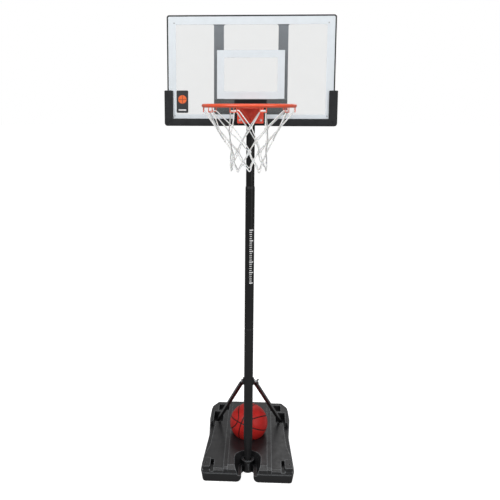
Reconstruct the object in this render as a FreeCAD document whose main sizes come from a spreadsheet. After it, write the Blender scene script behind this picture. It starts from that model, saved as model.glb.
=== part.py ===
import FreeCAD, Part
import math
import os
import re

from FreeCAD import Placement, Rotation, Vector

# A free-standing basketball hoop for a small ball, with a water-filled base.
# Origin: the pole's axis at floor level. +X is to the right of a player facing the
# board, -Y points at the player, +Z is up. Sizes are in millimetres.

SIZES = {
    # Tank that weighs the hoop down
    "tank_widest_height": 50,
    "tank_full_height": 120,
    "tank_front": -114,
    "tank_rear": 510,
    "tank_front_half_width": 206,
    "tank_waist_half_width": 193,
    "tank_waist_place": 228,
    "tank_rear_half_width": 204,
    "tank_taper": 10,
    "tank_wall": 4,
    "deck_front_height": 62,
    "deck_meeting_place": 560,
    "deck_meeting_height": 116.5,
    "deck_facet": 8,
    "spine_facet": 16,
    "front_wall_height": 44,
    "front_lean": 8,
    "deck_edge_radius": 11,
    "floor_edge_radius": 9,
    "spine_half_width": 88,
    "spine_rise": 13,
    "terrace_half_width": 107,
    "terrace_rise": 7,
    "notch_narrow_half_width": 27,
    "notch_shelf_half_width": 41,
    "notch_wide_half_width": 68,
    "notch_narrow_height": 36,
    "notch_centre": -30,
    "lobe_corner_radius": 24,
    "corner_boss_height": 74,
    "corner_boss_inner": 165,
    "corner_boss_outer": 200,
    "corner_groove_inner": 150,
    "corner_groove_floor": 51,
    "anchor_place_x": 186,
    "anchor_place_y": -72,
    "anchor_hole_radius": 4.5,
    "brace_foot_x": 161,
    "brace_foot_y": 350,
    "brace_pocket_inner": 130,
    "brace_pocket_outer": 178,
    "brace_pocket_front": 298,
    "brace_pocket_rear": 396,
    "brace_pocket_floor": 70,
    "deck_recess_inner": 104,
    "deck_recess_outer": 158,
    "deck_recess_front": 408,
    "deck_recess_rear": 468,
    "deck_recess_floor": 88,
    "side_ledge_height": 67,
    "side_ledge_front": -10,
    "side_ledge_rear": 304,
    "fill_place_y": 440,
    "fill_bore_radius": 17.6,
    "fill_boss_height": 100,
    "fill_recess_radius": 33,
    "fill_recess_floor": 97,
    # Socket for the pole's foot
    "socket_column_radius": 22.5,
    "socket_rim_radius": 29,
    "socket_height": 60,
    "socket_floor": 12,
    "socket_bore_radius": 13.6,
    "socket_mouth_radius": 19,
    # Pole in three lengths
    "pole_diameter": 40,
    "pole_wall": 1.5,
    "pole_foot_diameter": 27,
    "pole_foot_taper_top": 167,
    "pole_lower_joint": 677,
    "pole_neck_length": 60,
    "pole_upper_joint": 1294,
    "upper_pole_diameter": 36,
    "upper_pole_bottom": 1044,
    "upper_pole_top": 1662,
    "guide_bush_height": 10,
    "sliding_gap": 0.1,
    # Braces between the pole and the tank
    "brace_bolt_height": 431,
    "brace_tube_side": 14,
    "brace_tab_thickness": 3,
    "saddle_depth": 5,
    "saddle_height": 27,
    "brace_bolt_radius": 3.9,
    # Height lock
    "lock_height": 1272,
    "lock_screw_radius": 4,
    "lock_knob_radius": 17,
    # Ball and its seat
    "ball_diameter": 178,
    "ball_wall": 3,
    "ball_place_y": 183,
    "ball_centre_height": 150,
    "ball_seat_gap": 0.4,
    # Board
    "board_front": -75,
    "board_thickness": 4,
    "board_width": 678,
    "board_bottom": 1571,
    "board_top": 1998,
    "board_corner": 10,
    "trim_thickness": 1.5,
    "trim_face": 5,
    "frame_depth": 20,
    "frame_bar": 26,
    "frame_wall": 3,
    "upright_place": 129.5,
    "upright_width": 39,
    "window_bottom": 1603,
    "window_top": 1964,
    "window_half_width": 306,
    "window_corner": 3,
    "upright_flare": 9,
    "cross_plate_thickness": 3,
    "cross_plate_half_width": 149,
    "cross_plate_bottom": 1606,
    "cross_plate_top": 1668,
    # Corner pads
    "pad_half_width": 351,
    "pad_side_width": 35,
    "pad_side_top": 1702,
    "pad_bottom": 1559,
    "pad_lower_height": 30,
    "pad_inner_end": 65.3,
    "pad_front": -84,
    "pad_rear": -46,
    "pad_gap": 0.3,
    # Rim and its spring-loaded mounting
    "back_plate_half_width": 65,
    "back_plate_bottom": 1561,
    "back_plate_top": 1666,
    "back_plate_thickness": 2,
    "mount_plate_half_width": 53.5,
    "mount_plate_bottom": 1570,
    "mount_plate_top": 1648,
    "plate_thickness": 3,
    "rim_height": 1641,
    "rim_centre": -334,
    "rim_radius": 169,
    "rim_bar_radius": 7,
    "hinge_place_y": -88,
    "hinge_height": 1580,
    "hinge_pin_radius": 3,
    "hinge_barrel_radius": 6.5,
    "hinge_ear_half_height": 7,
    "hinge_plate_half_width": 36,
    "spring_height": 1608,
    "spring_radius": 7,
    "spring_wire_radius": 1,
    "hook_count": 10,
    "hook_half_width": 12,
    "hook_drop": 17,
    "hook_wire_radius": 1.5,
    "net_top": 1616,
    "net_bottom": 1398,
    # Fasteners
    "bolt_radius": 3,
    "bolt_hole_radius": 3.2,
    "bolt_head_radius": 6,
    "bolt_head_height": 4,
    "nut_radius": 5.5,
    "nut_height": 5,
    "mount_bolt_place": 43,
    "mount_bolt_lower": 1583,
    "mount_bolt_upper": 1640,
}

# Heights of the cross bolts through the sliding pole, and places of the panel's four screws
BRACKET_BOLT_HEIGHTS = ("cross_plate_bottom + 14", "cross_plate_top - 24")
PANEL_SCREW_PLACES = [(f"{side} * (window_half_width + 3)", height)
                      for side in (-1, 1) for height in ("window_bottom - 3", "window_top + 3")]

AXES = {"X": Vector(1, 0, 0), "Y": Vector(0, 1, 0), "Z": Vector(0, 0, 1)}
ALONG = {
    "X": Rotation(AXES["Y"], 90),
    "Y": Rotation(AXES["X"], -90),
    "Z": Rotation(),
}
SKETCH_PLANES = {"X": "YZ_Plane", "Y": "XZ_Plane", "Z": "XY_Plane"}

doc = FreeCAD.newDocument("portable_hoop")
sheet = doc.addObject("Spreadsheet::Sheet", "Sizes")
for row, (alias, number) in enumerate(SIZES.items(), start=1):
    sheet.set(f"A{row}", alias.replace("_", " "))
    sheet.set(f"B{row}", str(number))
    sheet.setAlias(f"B{row}", alias)
doc.recompute()

parts = {}


def value(alias):
    """A driving size, read from the sheet."""
    return float(getattr(sheet, alias))


def linked(text):
    """An expression in which every driving size points at its cell in the sheet."""
    return re.sub(r"[a-z_]+", lambda word: "Sizes." + word.group() if word.group() in SIZES else word.group(),
                  str(text))


def bind(item, **links):
    for name, text in links.items():
        item.setExpression(name, linked(text))


def place(item, x, y, z, rotation=None):
    """Put an item at a point whose coordinates are expressions."""
    item.Placement = Placement(Vector(), rotation or Rotation())
    for axis, text in zip("xyz", (x, y, z)):
        item.setExpression("Placement.Base." + axis, linked(text))


def finished(node, item):
    """Name an item as one of the hoop's sub-parts."""
    item.Label = node
    parts[node] = item
    return item


# ---------------------------------------------------------------- primitives

def box(name, x, y, z):
    """A block between two expressions along each axis."""
    item = doc.addObject("Part::Box", name)
    spans = dict(Length=x, Width=y, Height=z)
    bind(item, **{side: f"({high}) - ({low})" for side, (low, high) in spans.items()})
    place(item, x[0], y[0], z[0])
    return item


def rod(name, radius, length, start, axis="Z"):
    """A cylinder from a start point along one axis."""
    item = doc.addObject("Part::Cylinder", name)
    bind(item, Radius=radius, Height=length)
    place(item, *start, rotation=ALONG[axis])
    return item


def cone(name, radius_low, radius_high, length, start, axis="Z"):
    item = doc.addObject("Part::Cone", name)
    bind(item, Radius1=radius_low, Radius2=radius_high, Height=length)
    place(item, *start, rotation=ALONG[axis])
    return item


def hexagon(name, radius, length, start, axis="Z"):
    """A hexagonal prism whose corners lie on a circle of the given radius."""
    item = doc.addObject("Part::Prism", name)
    item.Polygon = 6
    bind(item, Circumradius=radius, Height=length)
    place(item, *start, rotation=ALONG[axis])
    return item


def fuse(name, *items):
    item = doc.addObject("Part::MultiFuse", name)
    item.Shapes = list(items)
    item.Refine = True
    return item


def group(name, *items):
    """Separate solids kept together as one sub-part."""
    item = doc.addObject("Part::Compound", name)
    item.Links = list(items)
    return item


def cut(name, base, *tools):
    item = doc.addObject("Part::Cut", name)
    item.Base = base
    item.Tool = tools[0] if len(tools) == 1 else fuse(name + "_tools", *tools)
    item.Refine = True
    return item


# ---------------------------------------------------------------- sketched bodies

def rounded(corners):
    """Sketch geometry of a closed outline. Each corner is (u, v) or (u, v, radius)."""
    count = len(corners)
    joins = []
    for index, corner in enumerate(corners):
        point = Vector(corner[0], corner[1], 0)
        before = Vector(*corners[index - 1][:2], 0) - point
        after = Vector(*corners[(index + 1) % count][:2], 0) - point
        radius = corner[2] if len(corner) > 2 else 0
        if radius == 0:
            joins.append((point, None, point))
            continue
        before.normalize()
        after.normalize()
        half_angle = before.getAngle(after) / 2
        reach = radius / math.tan(half_angle)
        middle = before + after
        middle.normalize()
        to_arc = radius / math.sin(half_angle) - radius
        joins.append((point + before * reach, point + middle * to_arc, point + after * reach))
    geometry = []
    for index, (start, middle, end) in enumerate(joins):
        if middle is not None:
            geometry.append(Part.Arc(start, middle, end))
        following = joins[(index + 1) % count][0]
        if end.distanceToPoint(following) > 1e-6:
            geometry.append(Part.LineSegment(end, following))
    return geometry


def rectangle(low_u, high_u, low_v, high_v, radius=0):
    return rounded([(low_u, low_v, radius), (high_u, low_v, radius),
                    (high_u, high_v, radius), (low_u, high_v, radius)])


def circle(centre_u, centre_v, radius):
    return [Part.Circle(Vector(centre_u, centre_v, 0), AXES["Z"], radius)]


def new_body(name):
    return doc.addObject("PartDesign::Body", name)


def sketch(body, name, axis, offset, *loops):
    """A sketch square to an axis, at an offset along it, on the body's own plane.

    Its (u, v) are (Y, Z) square to X, (X, Z) square to Y and (X, Y) square to Z.
    """
    item = body.newObject("Sketcher::SketchObject", name)
    plane = next(face for face in body.Origin.OriginFeatures if face.Role == SKETCH_PLANES[axis])
    item.AttachmentSupport = [(plane, "")]
    item.MapMode = "FlatFace"
    sign = "-" if axis == "Y" else ""
    item.setExpression("AttachmentOffset.Base.z", f"{sign}({linked(offset)})")
    for loop in loops:
        item.addGeometry(loop, False)
    return item


def add_slab(body, name, axis, low, high, *loops, taper=None, downward=False):
    """Pad an outline from low to high along an axis, or from high down to low."""
    starts_high = downward != (axis == "Y")
    item = body.newObject("PartDesign::Pad", name)
    item.Profile = sketch(body, name + "_outline", axis, high if starts_high else low, *loops)
    item.Reversed = downward
    bind(item, Length=f"({high}) - ({low})")
    if taper:
        bind(item, TaperAngle=taper)
    body.Tip = item
    return item


def cut_slab(body, name, axis, low, high, *loops):
    """Pocket an outline out of a body between low and high along an axis."""
    item = body.newObject("PartDesign::Pocket", name)
    item.Profile = sketch(body, name + "_outline", axis, low if axis == "Y" else high, *loops)
    bind(item, Length=f"({high}) - ({low})")
    body.Tip = item
    return item


def turned(body, name, corners):
    """Revolve an outline of (radius, height) corners about the vertical axis."""
    item = body.newObject("PartDesign::Revolution", name)
    profile = sketch(body, name + "_outline", "Y", 0, rounded(corners))
    item.Profile = profile
    item.ReferenceAxis = (profile, ["V_Axis"])
    item.Angle = 360
    body.Tip = item
    return item


def edges_where(item, test):
    """Names of the edges whose bounding box passes a test."""
    return [f"Edge{index}" for index, edge in enumerate(item.Shape.Edges, start=1) if test(edge.BoundBox)]


def round_edges(body, name, radius, test):
    """Round the edges of the body's last feature that pass a test."""
    doc.recompute()
    last = body.Tip
    names = edges_where(last, test)
    item = body.newObject("PartDesign::Fillet", name)
    item.Base = (last, names)
    bind(item, Radius=radius)
    body.Tip = item
    doc.recompute()
    return item


def mirrored_pair(points):
    """A right-hand half outline and its mirror image, as one closed list of corners."""
    left = [(-point[0],) + tuple(point[1:]) for point in reversed(points)]
    return list(points) + left


def mirrored_span(side, inner, outer):
    """The low and high x of a feature on one side, from its inner and outer distances."""
    return sorted((side * value(inner), side * value(outer)))


# ---------------------------------------------------------------- tank

def deck_height(y, rise=0):
    """Height of the tank's deck, which climbs from front to rear.

    A level that stands above the deck at the front runs into it behind the tank.
    """
    front = value("tank_front")
    low = value("deck_front_height") + rise
    run = (y - front) / (value("deck_meeting_place") - front)
    return low + (value("deck_meeting_height") - low) * run


def tank_corners(inset):
    """Half outline of the tank at its widest level, from the front to the rear."""
    front = value("tank_front") + inset
    rear = value("tank_rear") - inset
    return [
        (value("tank_front_half_width") - inset, front, 22),
        (value("tank_front_half_width") - inset, front + 60, 150),
        (value("tank_waist_half_width") - inset, value("tank_waist_place"), 420),
        (value("tank_rear_half_width") - inset, rear - 84, 60),
        (value("tank_rear_half_width") - inset - 4, rear - 50, 18),
        (value("tank_rear_half_width") - inset - 34, rear, 16),
    ]


def above_deck(rise, facet):
    """Side outline of everything above the sloping deck and the facet along its front.

    The front wall leans back from its own height up to the facet's foot.
    """
    wall_top = value("front_wall_height")
    front = value("tank_front")
    facet_foot = front + value("front_lean")
    brow = facet_foot + facet
    brow_height = deck_height(brow, rise)
    beyond_front = front - 30
    beyond_rear = value("tank_rear") + 30
    roof = value("tank_full_height") + 60
    return rounded([(beyond_front, wall_top), (front + 4, wall_top),
                    (facet_foot, brow_height - facet), (brow, brow_height),
                    (beyond_rear, deck_height(beyond_rear, rise)), (beyond_rear, roof), (beyond_front, roof)])


def notch_outline(half_width):
    """Plan of the notch between the two front lobes: straight sides and a round back."""
    centre = value("notch_centre")
    front = value("tank_front") - 20
    left = Vector(-half_width, centre, 0)
    right = Vector(half_width, centre, 0)
    back = Vector(0, centre + half_width, 0)
    front_left = Vector(-half_width, front, 0)
    front_right = Vector(half_width, front, 0)
    return [
        Part.LineSegment(front_left, left),
        Part.Arc(left, back, right),
        Part.LineSegment(right, front_right),
        Part.LineSegment(front_right, front_left),
    ]


def lobe_corner(side):
    """What is taken off a front lobe's lower inner corner to leave it round."""
    radius = value("lobe_corner_radius")
    wall = value("notch_narrow_half_width")
    centre = Vector(side * (wall + radius), radius, 0)
    turning = radius * math.sqrt(0.5)
    low = Vector(centre.x, 0, 0)
    middle = Vector(centre.x - side * turning, radius - turning, 0)
    high = Vector(side * wall, radius, 0)
    corners = [high, Vector(side * (wall - 2), radius, 0), Vector(side * (wall - 2), -2, 0),
               Vector(centre.x, -2, 0), low]
    return [Part.LineSegment(*ends) for ends in zip(corners, corners[1:])] + [Part.Arc(low, middle, high)]


def side_ledge(side, growth):
    """Plan of the ledge beside the deck's waist, grown on all sides."""
    front = value("side_ledge_front") - growth
    rear = value("side_ledge_rear") + growth
    ridge = [(167, rear), (172, 180), (178, 80), (199, front)]
    beyond = value("tank_front_half_width") + 30
    corners = [(x - growth, y) for x, y in ridge] + [(beyond, front), (beyond, rear)]
    return rounded([(side * x, y) for x, y in corners])


def make_tank_skin():
    """Outside of the blow-moulded tank."""
    body = new_body("tank_skin")
    outline = rounded(mirrored_pair(tank_corners(0)))
    add_slab(body, "upper_half", "Z", "tank_widest_height", "tank_full_height", outline, taper="-tank_taper")
    add_slab(body, "lower_half", "Z", "0", "tank_widest_height", outline, taper="-tank_taper", downward=True)

    deck_facet = value("deck_facet")
    spine = "spine_half_width"
    terrace = "terrace_half_width"
    beyond = "tank_front_half_width + 30"
    spine_outline = above_deck(value("spine_rise"), value("spine_facet"))
    terrace_outline = above_deck(value("terrace_rise"), deck_facet)
    deck_outline = above_deck(0, deck_facet)
    cut_slab(body, "spine_top", "X", "-" + spine, spine, spine_outline)
    cut_slab(body, "right_terrace_top", "X", spine, terrace, terrace_outline)
    cut_slab(body, "left_terrace_top", "X", "-" + terrace, "-" + spine, terrace_outline)
    cut_slab(body, "right_deck_top", "X", terrace, beyond, deck_outline)
    cut_slab(body, "left_deck_top", "X", f"-({beyond})", "-" + terrace, deck_outline)
    round_edges(body, "deck_rounding", "deck_edge_radius",
                lambda edge: edge.ZMin > 55 and edge.YLength > 60
                and max(abs(edge.XMin), abs(edge.XMax)) > 160)

    front = value("tank_front")
    for side, name in ((1, "right"), (-1, "left")):
        cut_slab(body, name + "_side_ledge", "Z", "side_ledge_height", "tank_full_height",
                 side_ledge(side, 0))
        low_x, high_x = mirrored_span(side, "corner_boss_inner", "corner_boss_outer")
        add_slab(body, name + "_corner_boss", "Z", "tank_widest_height", "corner_boss_height",
                 rectangle(low_x, high_x, front + 8, front + 88, 7))
        low_x, high_x = mirrored_span(side, "corner_groove_inner", "corner_boss_inner")
        cut_slab(body, name + "_corner_groove", "Z", "corner_groove_floor", "tank_full_height",
                 rectangle(low_x, high_x, front - 10, front + 84))

    top = body.newObject("PartDesign::SubtractiveLoft", "notch_funnel")
    narrow = sketch(body, "notch_shelf", "Z", "notch_narrow_height",
                    notch_outline(value("notch_shelf_half_width")))
    wide = sketch(body, "notch_wide", "Z", "notch_narrow_height + 64",
                  notch_outline(value("notch_wide_half_width")))
    top.Profile = narrow
    top.Sections = [wide]
    body.Tip = top
    cut_slab(body, "notch_slot", "Z", "-5", "notch_narrow_height",
             notch_outline(value("notch_narrow_half_width")))
    for side, name in ((1, "right"), (-1, "left")):
        cut_slab(body, name + "_lobe_rounding", "Y", "tank_front - 5", "notch_centre + 4", lobe_corner(side))
    round_edges(body, "floor_rounding", "floor_edge_radius",
                lambda edge: edge.ZMax < 0.5 and (edge.YMin > value("notch_centre") + 60
                                                  or max(abs(edge.XMin), abs(edge.XMax)) > 60))
    return body


def make_pole_socket():
    """Column that the pole's foot drops into, moulded onto the back of the notch.

    A raised parting line runs up its front, a little to one side.
    """
    body = new_body("socket")
    column = value("socket_column_radius")
    rim = value("socket_rim_radius")
    height = value("socket_height")
    turned(body, "column", [
        (0, 0), (column, 0, 1.5), (column, height - 15, 4), (rim, height - 5, 2),
        (rim, height, 1.5), (0, height)])
    add_slab(body, "web", "Z", "0", "socket_height - 3", rectangle(-12, 12, 8, 62))
    add_slab(body, "parting_line", "Z", "2", "socket_height - 17",
             rectangle(2.6, 4.8, -column - 1.4, -column + 3))
    return body


def under_deck(rise):
    """Side outline of the deck's underside and everything above it, flat right to the front."""
    front = value("tank_front") - 30
    rear = value("tank_rear") + 30
    roof = value("tank_full_height") + 60
    wall = value("tank_wall")
    return rounded([(front, deck_height(front, rise) - wall), (rear, deck_height(rear, rise) - wall),
                    (rear, roof), (front, roof)])


def make_tank_hollow():
    """Space for the ballast inside the tank's walls."""
    wall = value("tank_wall")
    body = new_body("ballast_space")
    outline = rounded(mirrored_pair(tank_corners(wall)))
    add_slab(body, "upper_space", "Z", "tank_widest_height", "tank_full_height", outline, taper="-tank_taper")
    add_slab(body, "lower_space", "Z", "tank_wall", "tank_widest_height", outline, taper="-tank_taper",
             downward=True)
    inner_spine = "(spine_half_width - tank_wall)"
    beyond = "(tank_front_half_width + 30)"
    cut_slab(body, "under_spine", "X", "-" + inner_spine, inner_spine, under_deck(value("spine_rise")))
    cut_slab(body, "under_right_deck", "X", inner_spine, beyond, under_deck(0))
    cut_slab(body, "under_left_deck", "X", "-" + beyond, "-" + inner_spine, under_deck(0))
    full_height = ("0", "tank_full_height")
    front_walls = ("tank_front - 5", "tank_front + front_lean + spine_facet + 2")
    keep_clear = [box("notch_walls", ("-74", "74"), ("tank_front - 5", "60"), full_height),
                  box("front_walls", ("-" + beyond, beyond), front_walls, full_height),
                  well_ball("seat_wall", "tank_wall"),
                  rod("fill_recess_wall", "fill_recess_radius + tank_wall", "60",
                      ("0", "fill_place_y", "fill_recess_floor - 5"))]
    for side, name in ((1, "right"), (-1, "left")):
        ledge_wall = new_body(name + "_ledge_wall")
        add_slab(ledge_wall, name + "_ledge_wall_slab", "Z", "side_ledge_height - tank_wall",
                 "tank_full_height", side_ledge(side, wall))
        keep_clear.append(ledge_wall)
        keep_clear.append(rod(name + "_anchor_sleeve", "anchor_hole_radius + tank_wall", "tank_full_height",
                              (f"{side} * anchor_place_x", "anchor_place_y", "0")))
        low_x, high_x = mirrored_span(side, "corner_groove_inner", "tank_front_half_width")
        keep_clear.append(box(name + "_groove_walls", (low_x - wall, high_x + wall),
                              ("tank_front", "tank_front + 92"),
                              ("corner_groove_floor - tank_wall", "tank_full_height")))
        low_x, high_x = mirrored_span(side, "brace_pocket_inner", "brace_pocket_outer")
        keep_clear.append(box(name + "_pocket_walls", (low_x - wall, high_x + wall),
                              ("brace_pocket_front - tank_wall", "brace_pocket_rear + tank_wall"),
                              ("brace_pocket_floor - 12", "tank_full_height")))
        low_x, high_x = mirrored_span(side, "deck_recess_inner", "deck_recess_outer")
        keep_clear.append(box(name + "_recess_walls", (low_x - wall, high_x + wall),
                              ("deck_recess_front - tank_wall", "deck_recess_rear + tank_wall"),
                              ("deck_recess_floor - tank_wall", "tank_full_height")))
    return cut("ballast_hollow", body, *keep_clear)


def well_ball(name, growth):
    """The ball's shape, grown on all sides, at its place in the tank."""
    item = doc.addObject("Part::Sphere", name)
    bind(item, Radius=f"ball_diameter / 2 + ball_seat_gap + {growth}")
    place(item, "0", "ball_place_y", "ball_centre_height")
    return item


def make_base_tank():
    deck_room = "tank_full_height + 20"
    cutters = [well_ball("ball_seat", "0"),
               rod("fill_recess", "fill_recess_radius", "40", ("0", "fill_place_y", "fill_recess_floor"))]
    for side, name in ((1, "right"), (-1, "left")):
        cutters.append(rod(name + "_anchor_hole", "anchor_hole_radius", "tank_full_height",
                           (f"{side} * anchor_place_x", "anchor_place_y", "-5")))
        pocket = mirrored_span(side, "brace_pocket_inner", "brace_pocket_outer")
        cutters.append(box(name + "_brace_pocket", pocket, ("brace_pocket_front", "brace_pocket_rear"),
                           ("brace_pocket_floor", deck_room)))
        foot = brace_line(side)[3]
        cutters.append(rod(name + "_foot_screw_hole", "bolt_radius + 0.05", "9",
                           (foot.x, foot.y, "brace_pocket_floor - 8")))
        recess = mirrored_span(side, "deck_recess_inner", "deck_recess_outer")
        cutters.append(box(name + "_recess", recess, ("deck_recess_front", "deck_recess_rear"),
                           ("deck_recess_floor", deck_room)))
    moulding = cut("tank_moulding", make_tank_skin(), *cutters)
    shell = cut("tank_shell", moulding, make_tank_hollow())
    fill_boss = rod("fill_boss", "fill_bore_radius + 6", "fill_boss_height - fill_recess_floor + 3",
                    ("0", "fill_place_y", "fill_recess_floor - 3"))
    with_socket = fuse("tank_with_socket", shell, make_pole_socket(), fill_boss)
    socket_bore = fuse(
        "socket_clearance",
        rod("socket_bore_lower", "socket_bore_radius", "socket_height - 12", ("0", "0", "socket_floor")),
        cone("socket_bore_mouth", "socket_bore_radius", "socket_mouth_radius", "8",
             ("0", "0", "socket_height - 12")),
        rod("socket_bore_top", "socket_mouth_radius", "30", ("0", "0", "socket_height - 4")),
        rod("fill_bore", "fill_bore_radius", "40", ("0", "fill_place_y", "fill_boss_height - 25")))
    finished("base_tank", cut("base_tank", with_socket, socket_bore))


def make_fill_cap():
    """Screw cap of the filling hole, with a gasket under its flange."""
    seat = "fill_boss_height"
    here = ("0", "fill_place_y")
    gasket = cut("cap_gasket",
                 rod("gasket_disc", "fill_bore_radius + 4", "1.5", (*here, seat)),
                 rod("gasket_hole", "fill_bore_radius", "6", (*here, seat + " - 2")))
    finished("cap_gasket", gasket)
    flange = rod("cap_flange", "fill_bore_radius + 6", "8", (*here, seat + " + 1.5"))
    plug = rod("cap_plug", "fill_bore_radius - 0.1", "15", (*here, seat + " - 13"))
    ribs = [box(f"cap_grip_{index}", ("-1.5", "1.5"), ("fill_bore_radius + 5", "fill_bore_radius + 7.5"),
                ("0", "8")) for index in range(12)]
    for index, rib in enumerate(ribs):
        turn = Rotation(AXES["Z"], 30 * index)
        reach = turn.multVec(Vector(-1.5, value("fill_bore_radius") + 5, 0))
        place(rib, str(reach.x), f"fill_place_y + ({reach.y})", seat + " + 1.5", rotation=turn)
    slot = box("cap_slot", ("-3", "3"), ("fill_place_y - 14", "fill_place_y + 14"),
               (seat + " + 6", seat + " + 12"))
    finished("fill_cap", cut("fill_cap", fuse("cap_solid", flange, plug, *ribs), slot))


# ---------------------------------------------------------------- pole and braces

def make_poles():
    outer = value("pole_diameter") / 2
    wall = value("pole_wall")
    foot = value("pole_foot_diameter") / 2
    joint = value("pole_lower_joint")
    neck = outer - wall - 0.05
    neck_top = joint + value("pole_neck_length")
    floor = value("socket_floor")
    taper_top = value("pole_foot_taper_top")
    taper_bottom = value("socket_height")

    lower = new_body("lower_pole")
    turned(lower, "lower_tube", [
        (foot - wall, floor), (foot, floor), (foot, taper_bottom, 60), (outer, taper_top, 60),
        (outer, joint - 5, 2), (neck, joint - 1, 2), (neck, neck_top), (neck - wall, neck_top),
        (neck - wall, joint - 1), (outer - wall, joint - 6), (outer - wall, taper_top),
        (foot - wall, taper_bottom)])
    cross_hole = rod("lower_cross_hole", "brace_bolt_radius + 0.1", "pole_diameter + 20",
                     ("-(pole_diameter / 2 + 10)", "0", "brace_bolt_height"), "X")
    finished("lower_pole", cut("lower_pole_drilled", lower, cross_hole))

    mid = new_body("mid_pole")
    top = value("pole_upper_joint")
    turned(mid, "mid_tube", [(outer - wall, joint), (outer, joint, 1), (outer, top), (outer - wall, top)])
    lock_hole = rod("lock_hole", "lock_screw_radius + 0.5", "30", ("0", "5", "lock_height"), "Y")
    finished("mid_pole", cut("mid_pole_drilled", mid, lock_hole))

    bush = new_body("pole_guide_bush")
    slide_radius = value("upper_pole_diameter") / 2
    bush_top = top + value("guide_bush_height")
    inside = slide_radius + value("sliding_gap")
    turned(bush, "bush_ring", [(inside, top), (outer, top), (outer, top + 3, 1), (inside + 0.9, bush_top),
                               (inside, bush_top)])
    finished("pole_guide_bush", bush)

    upper = new_body("upper_pole_tube")
    bottom = value("upper_pole_bottom")
    crown = value("upper_pole_top")
    turned(upper, "upper_tube", [(slide_radius - wall, bottom), (slide_radius, bottom),
                                 (slide_radius, crown), (slide_radius - wall, crown)])
    holes = [rod(f"bracket_hole_{height}", "bolt_hole_radius", "60", ("-30", "0", height), "X")
             for height in BRACKET_BOLT_HEIGHTS]
    finished("upper_pole", cut("upper_pole", upper, *holes))

    cap = new_body("pole_top_cap")
    turned(cap, "cap_dome", [(0, crown - 8), (slide_radius - wall - 0.1, crown - 8, 1),
                             (slide_radius - wall - 0.1, crown), (slide_radius, crown),
                             (slide_radius, crown + 4, 3), (0, crown + 4)])
    finished("pole_top_cap", cap)


def brace_line(side):
    """A brace's bolt on the pole, its foot in the tank, its direction and its foot screw."""
    half_tab = value("brace_tab_thickness") / 2
    beside_pole = value("pole_diameter") / 2 + value("saddle_depth") + half_tab
    bolt = Vector(side * beside_pole, 0, value("brace_bolt_height"))
    foot = Vector(side * value("brace_foot_x"), value("brace_foot_y"), value("brace_pocket_floor") + half_tab)
    run = foot - bolt
    run.normalize()
    screw = Vector(foot.x - run.x * 10, foot.y + 12, foot.z)
    return bolt, foot, run, screw


def make_saddles():
    """Plastic blocks that seat the flat brace ends on the round pole."""
    for side, name in ((1, "right"), (-1, "left")):
        near = "pole_diameter / 2 - 6"
        far = "pole_diameter / 2 + saddle_depth"
        span = (near, far) if side > 0 else (f"-({far})", f"-({near})")
        block = box(f"saddle_block_{name}", span, ("-11", "11"),
                    ("brace_bolt_height - saddle_height / 2", "brace_bolt_height + saddle_height / 2"))
        pole_space = rod(f"saddle_pole_{name}", "pole_diameter / 2", "200",
                         ("0", "0", "brace_bolt_height - 100"))
        bolt_space = rod(f"saddle_bolt_{name}", "brace_bolt_radius + 0.1", "120",
                         ("-60", "0", "brace_bolt_height"), "X")
        finished(f"brace_saddle_{name}", cut(f"brace_saddle_{name}", block, pole_space, bolt_space))


def make_brace(name, side):
    """A square tube with flattened ends: one bolted to the pole, one in the tank."""
    thickness = value("brace_tab_thickness")
    half = value("brace_tube_side") / 2
    bolt, foot, run, screw = brace_line(side)
    start = bolt + run * 26
    end = foot - run * 22
    length = (end - start).Length

    tube = doc.addObject("Part::Box", name + "_tube")
    tube.Length = 2 * half
    tube.Width = 2 * half
    tube.Height = length
    aim = Rotation(Vector(1, 0, 0), Vector(0, 1, 0), run, "ZXY")
    tube.Placement = Placement(start - aim.multVec(Vector(half, half, 0)), aim)
    bore = doc.addObject("Part::Box", name + "_bore")
    bore.Length = 2 * half - 2.4
    bore.Width = 2 * half - 2.4
    bore.Height = length - 24
    inner_start = start + run * 12
    bore.Placement = Placement(inner_start - aim.multVec(Vector(half - 1.2, half - 1.2, 0)), aim)

    tab = new_body(name + "_pole_tab")
    slope = math.atan2(run.z, run.y)
    reach = Vector(math.cos(slope), math.sin(slope))
    across = Vector(-reach.y, reach.x)
    centre = Vector(0, bolt.z)
    far = centre + reach * 32
    near = centre - reach * 9
    outline = [near + across * 9, far + across * 6, far - across * 6, near - across * 9]
    low_x = bolt.x - thickness / 2
    add_slab(tab, name + "_pole_plate", "X", low_x, low_x + thickness,
             rounded([(outline[0].x, outline[0].y, 6), (outline[1].x, outline[1].y),
                      (outline[2].x, outline[2].y), (outline[3].x, outline[3].y, 6)]),
             circle(0, bolt.z, value("brace_bolt_radius") + 0.1))

    sole = new_body(name + "_foot_tab")
    low_z = foot.z - thickness / 2
    add_slab(sole, name + "_foot_plate", "Z", low_z, low_z + thickness,
             rectangle(screw.x - 10, screw.x + 10, foot.y - 24, foot.y + 20, 5),
             circle(screw.x, screw.y, value("bolt_hole_radius")))
    neck_start = bolt + run * 16
    knuckles = []
    for label, point, size_out, direction_out in (("pole_neck", neck_start, half - 1.5, 12),
                                                  ("foot_neck", end - run * 2, half - 1, 25)):
        piece = doc.addObject("Part::Box", f"{name}_{label}")
        piece.Length = 2 * size_out
        piece.Width = 2 * size_out
        piece.Height = direction_out
        piece.Placement = Placement(point - aim.multVec(Vector(size_out, size_out, 0)), aim)
        knuckles.append(piece)
    solid = fuse(name + "_solid", cut(name + "_hollow", tube, bore), tab, sole, *knuckles)
    below = box(name + "_below_pocket", ("-400", "400"), ("0", "600"),
                ("0", "brace_pocket_floor"))
    finished(name, cut(name, solid, below))


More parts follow.
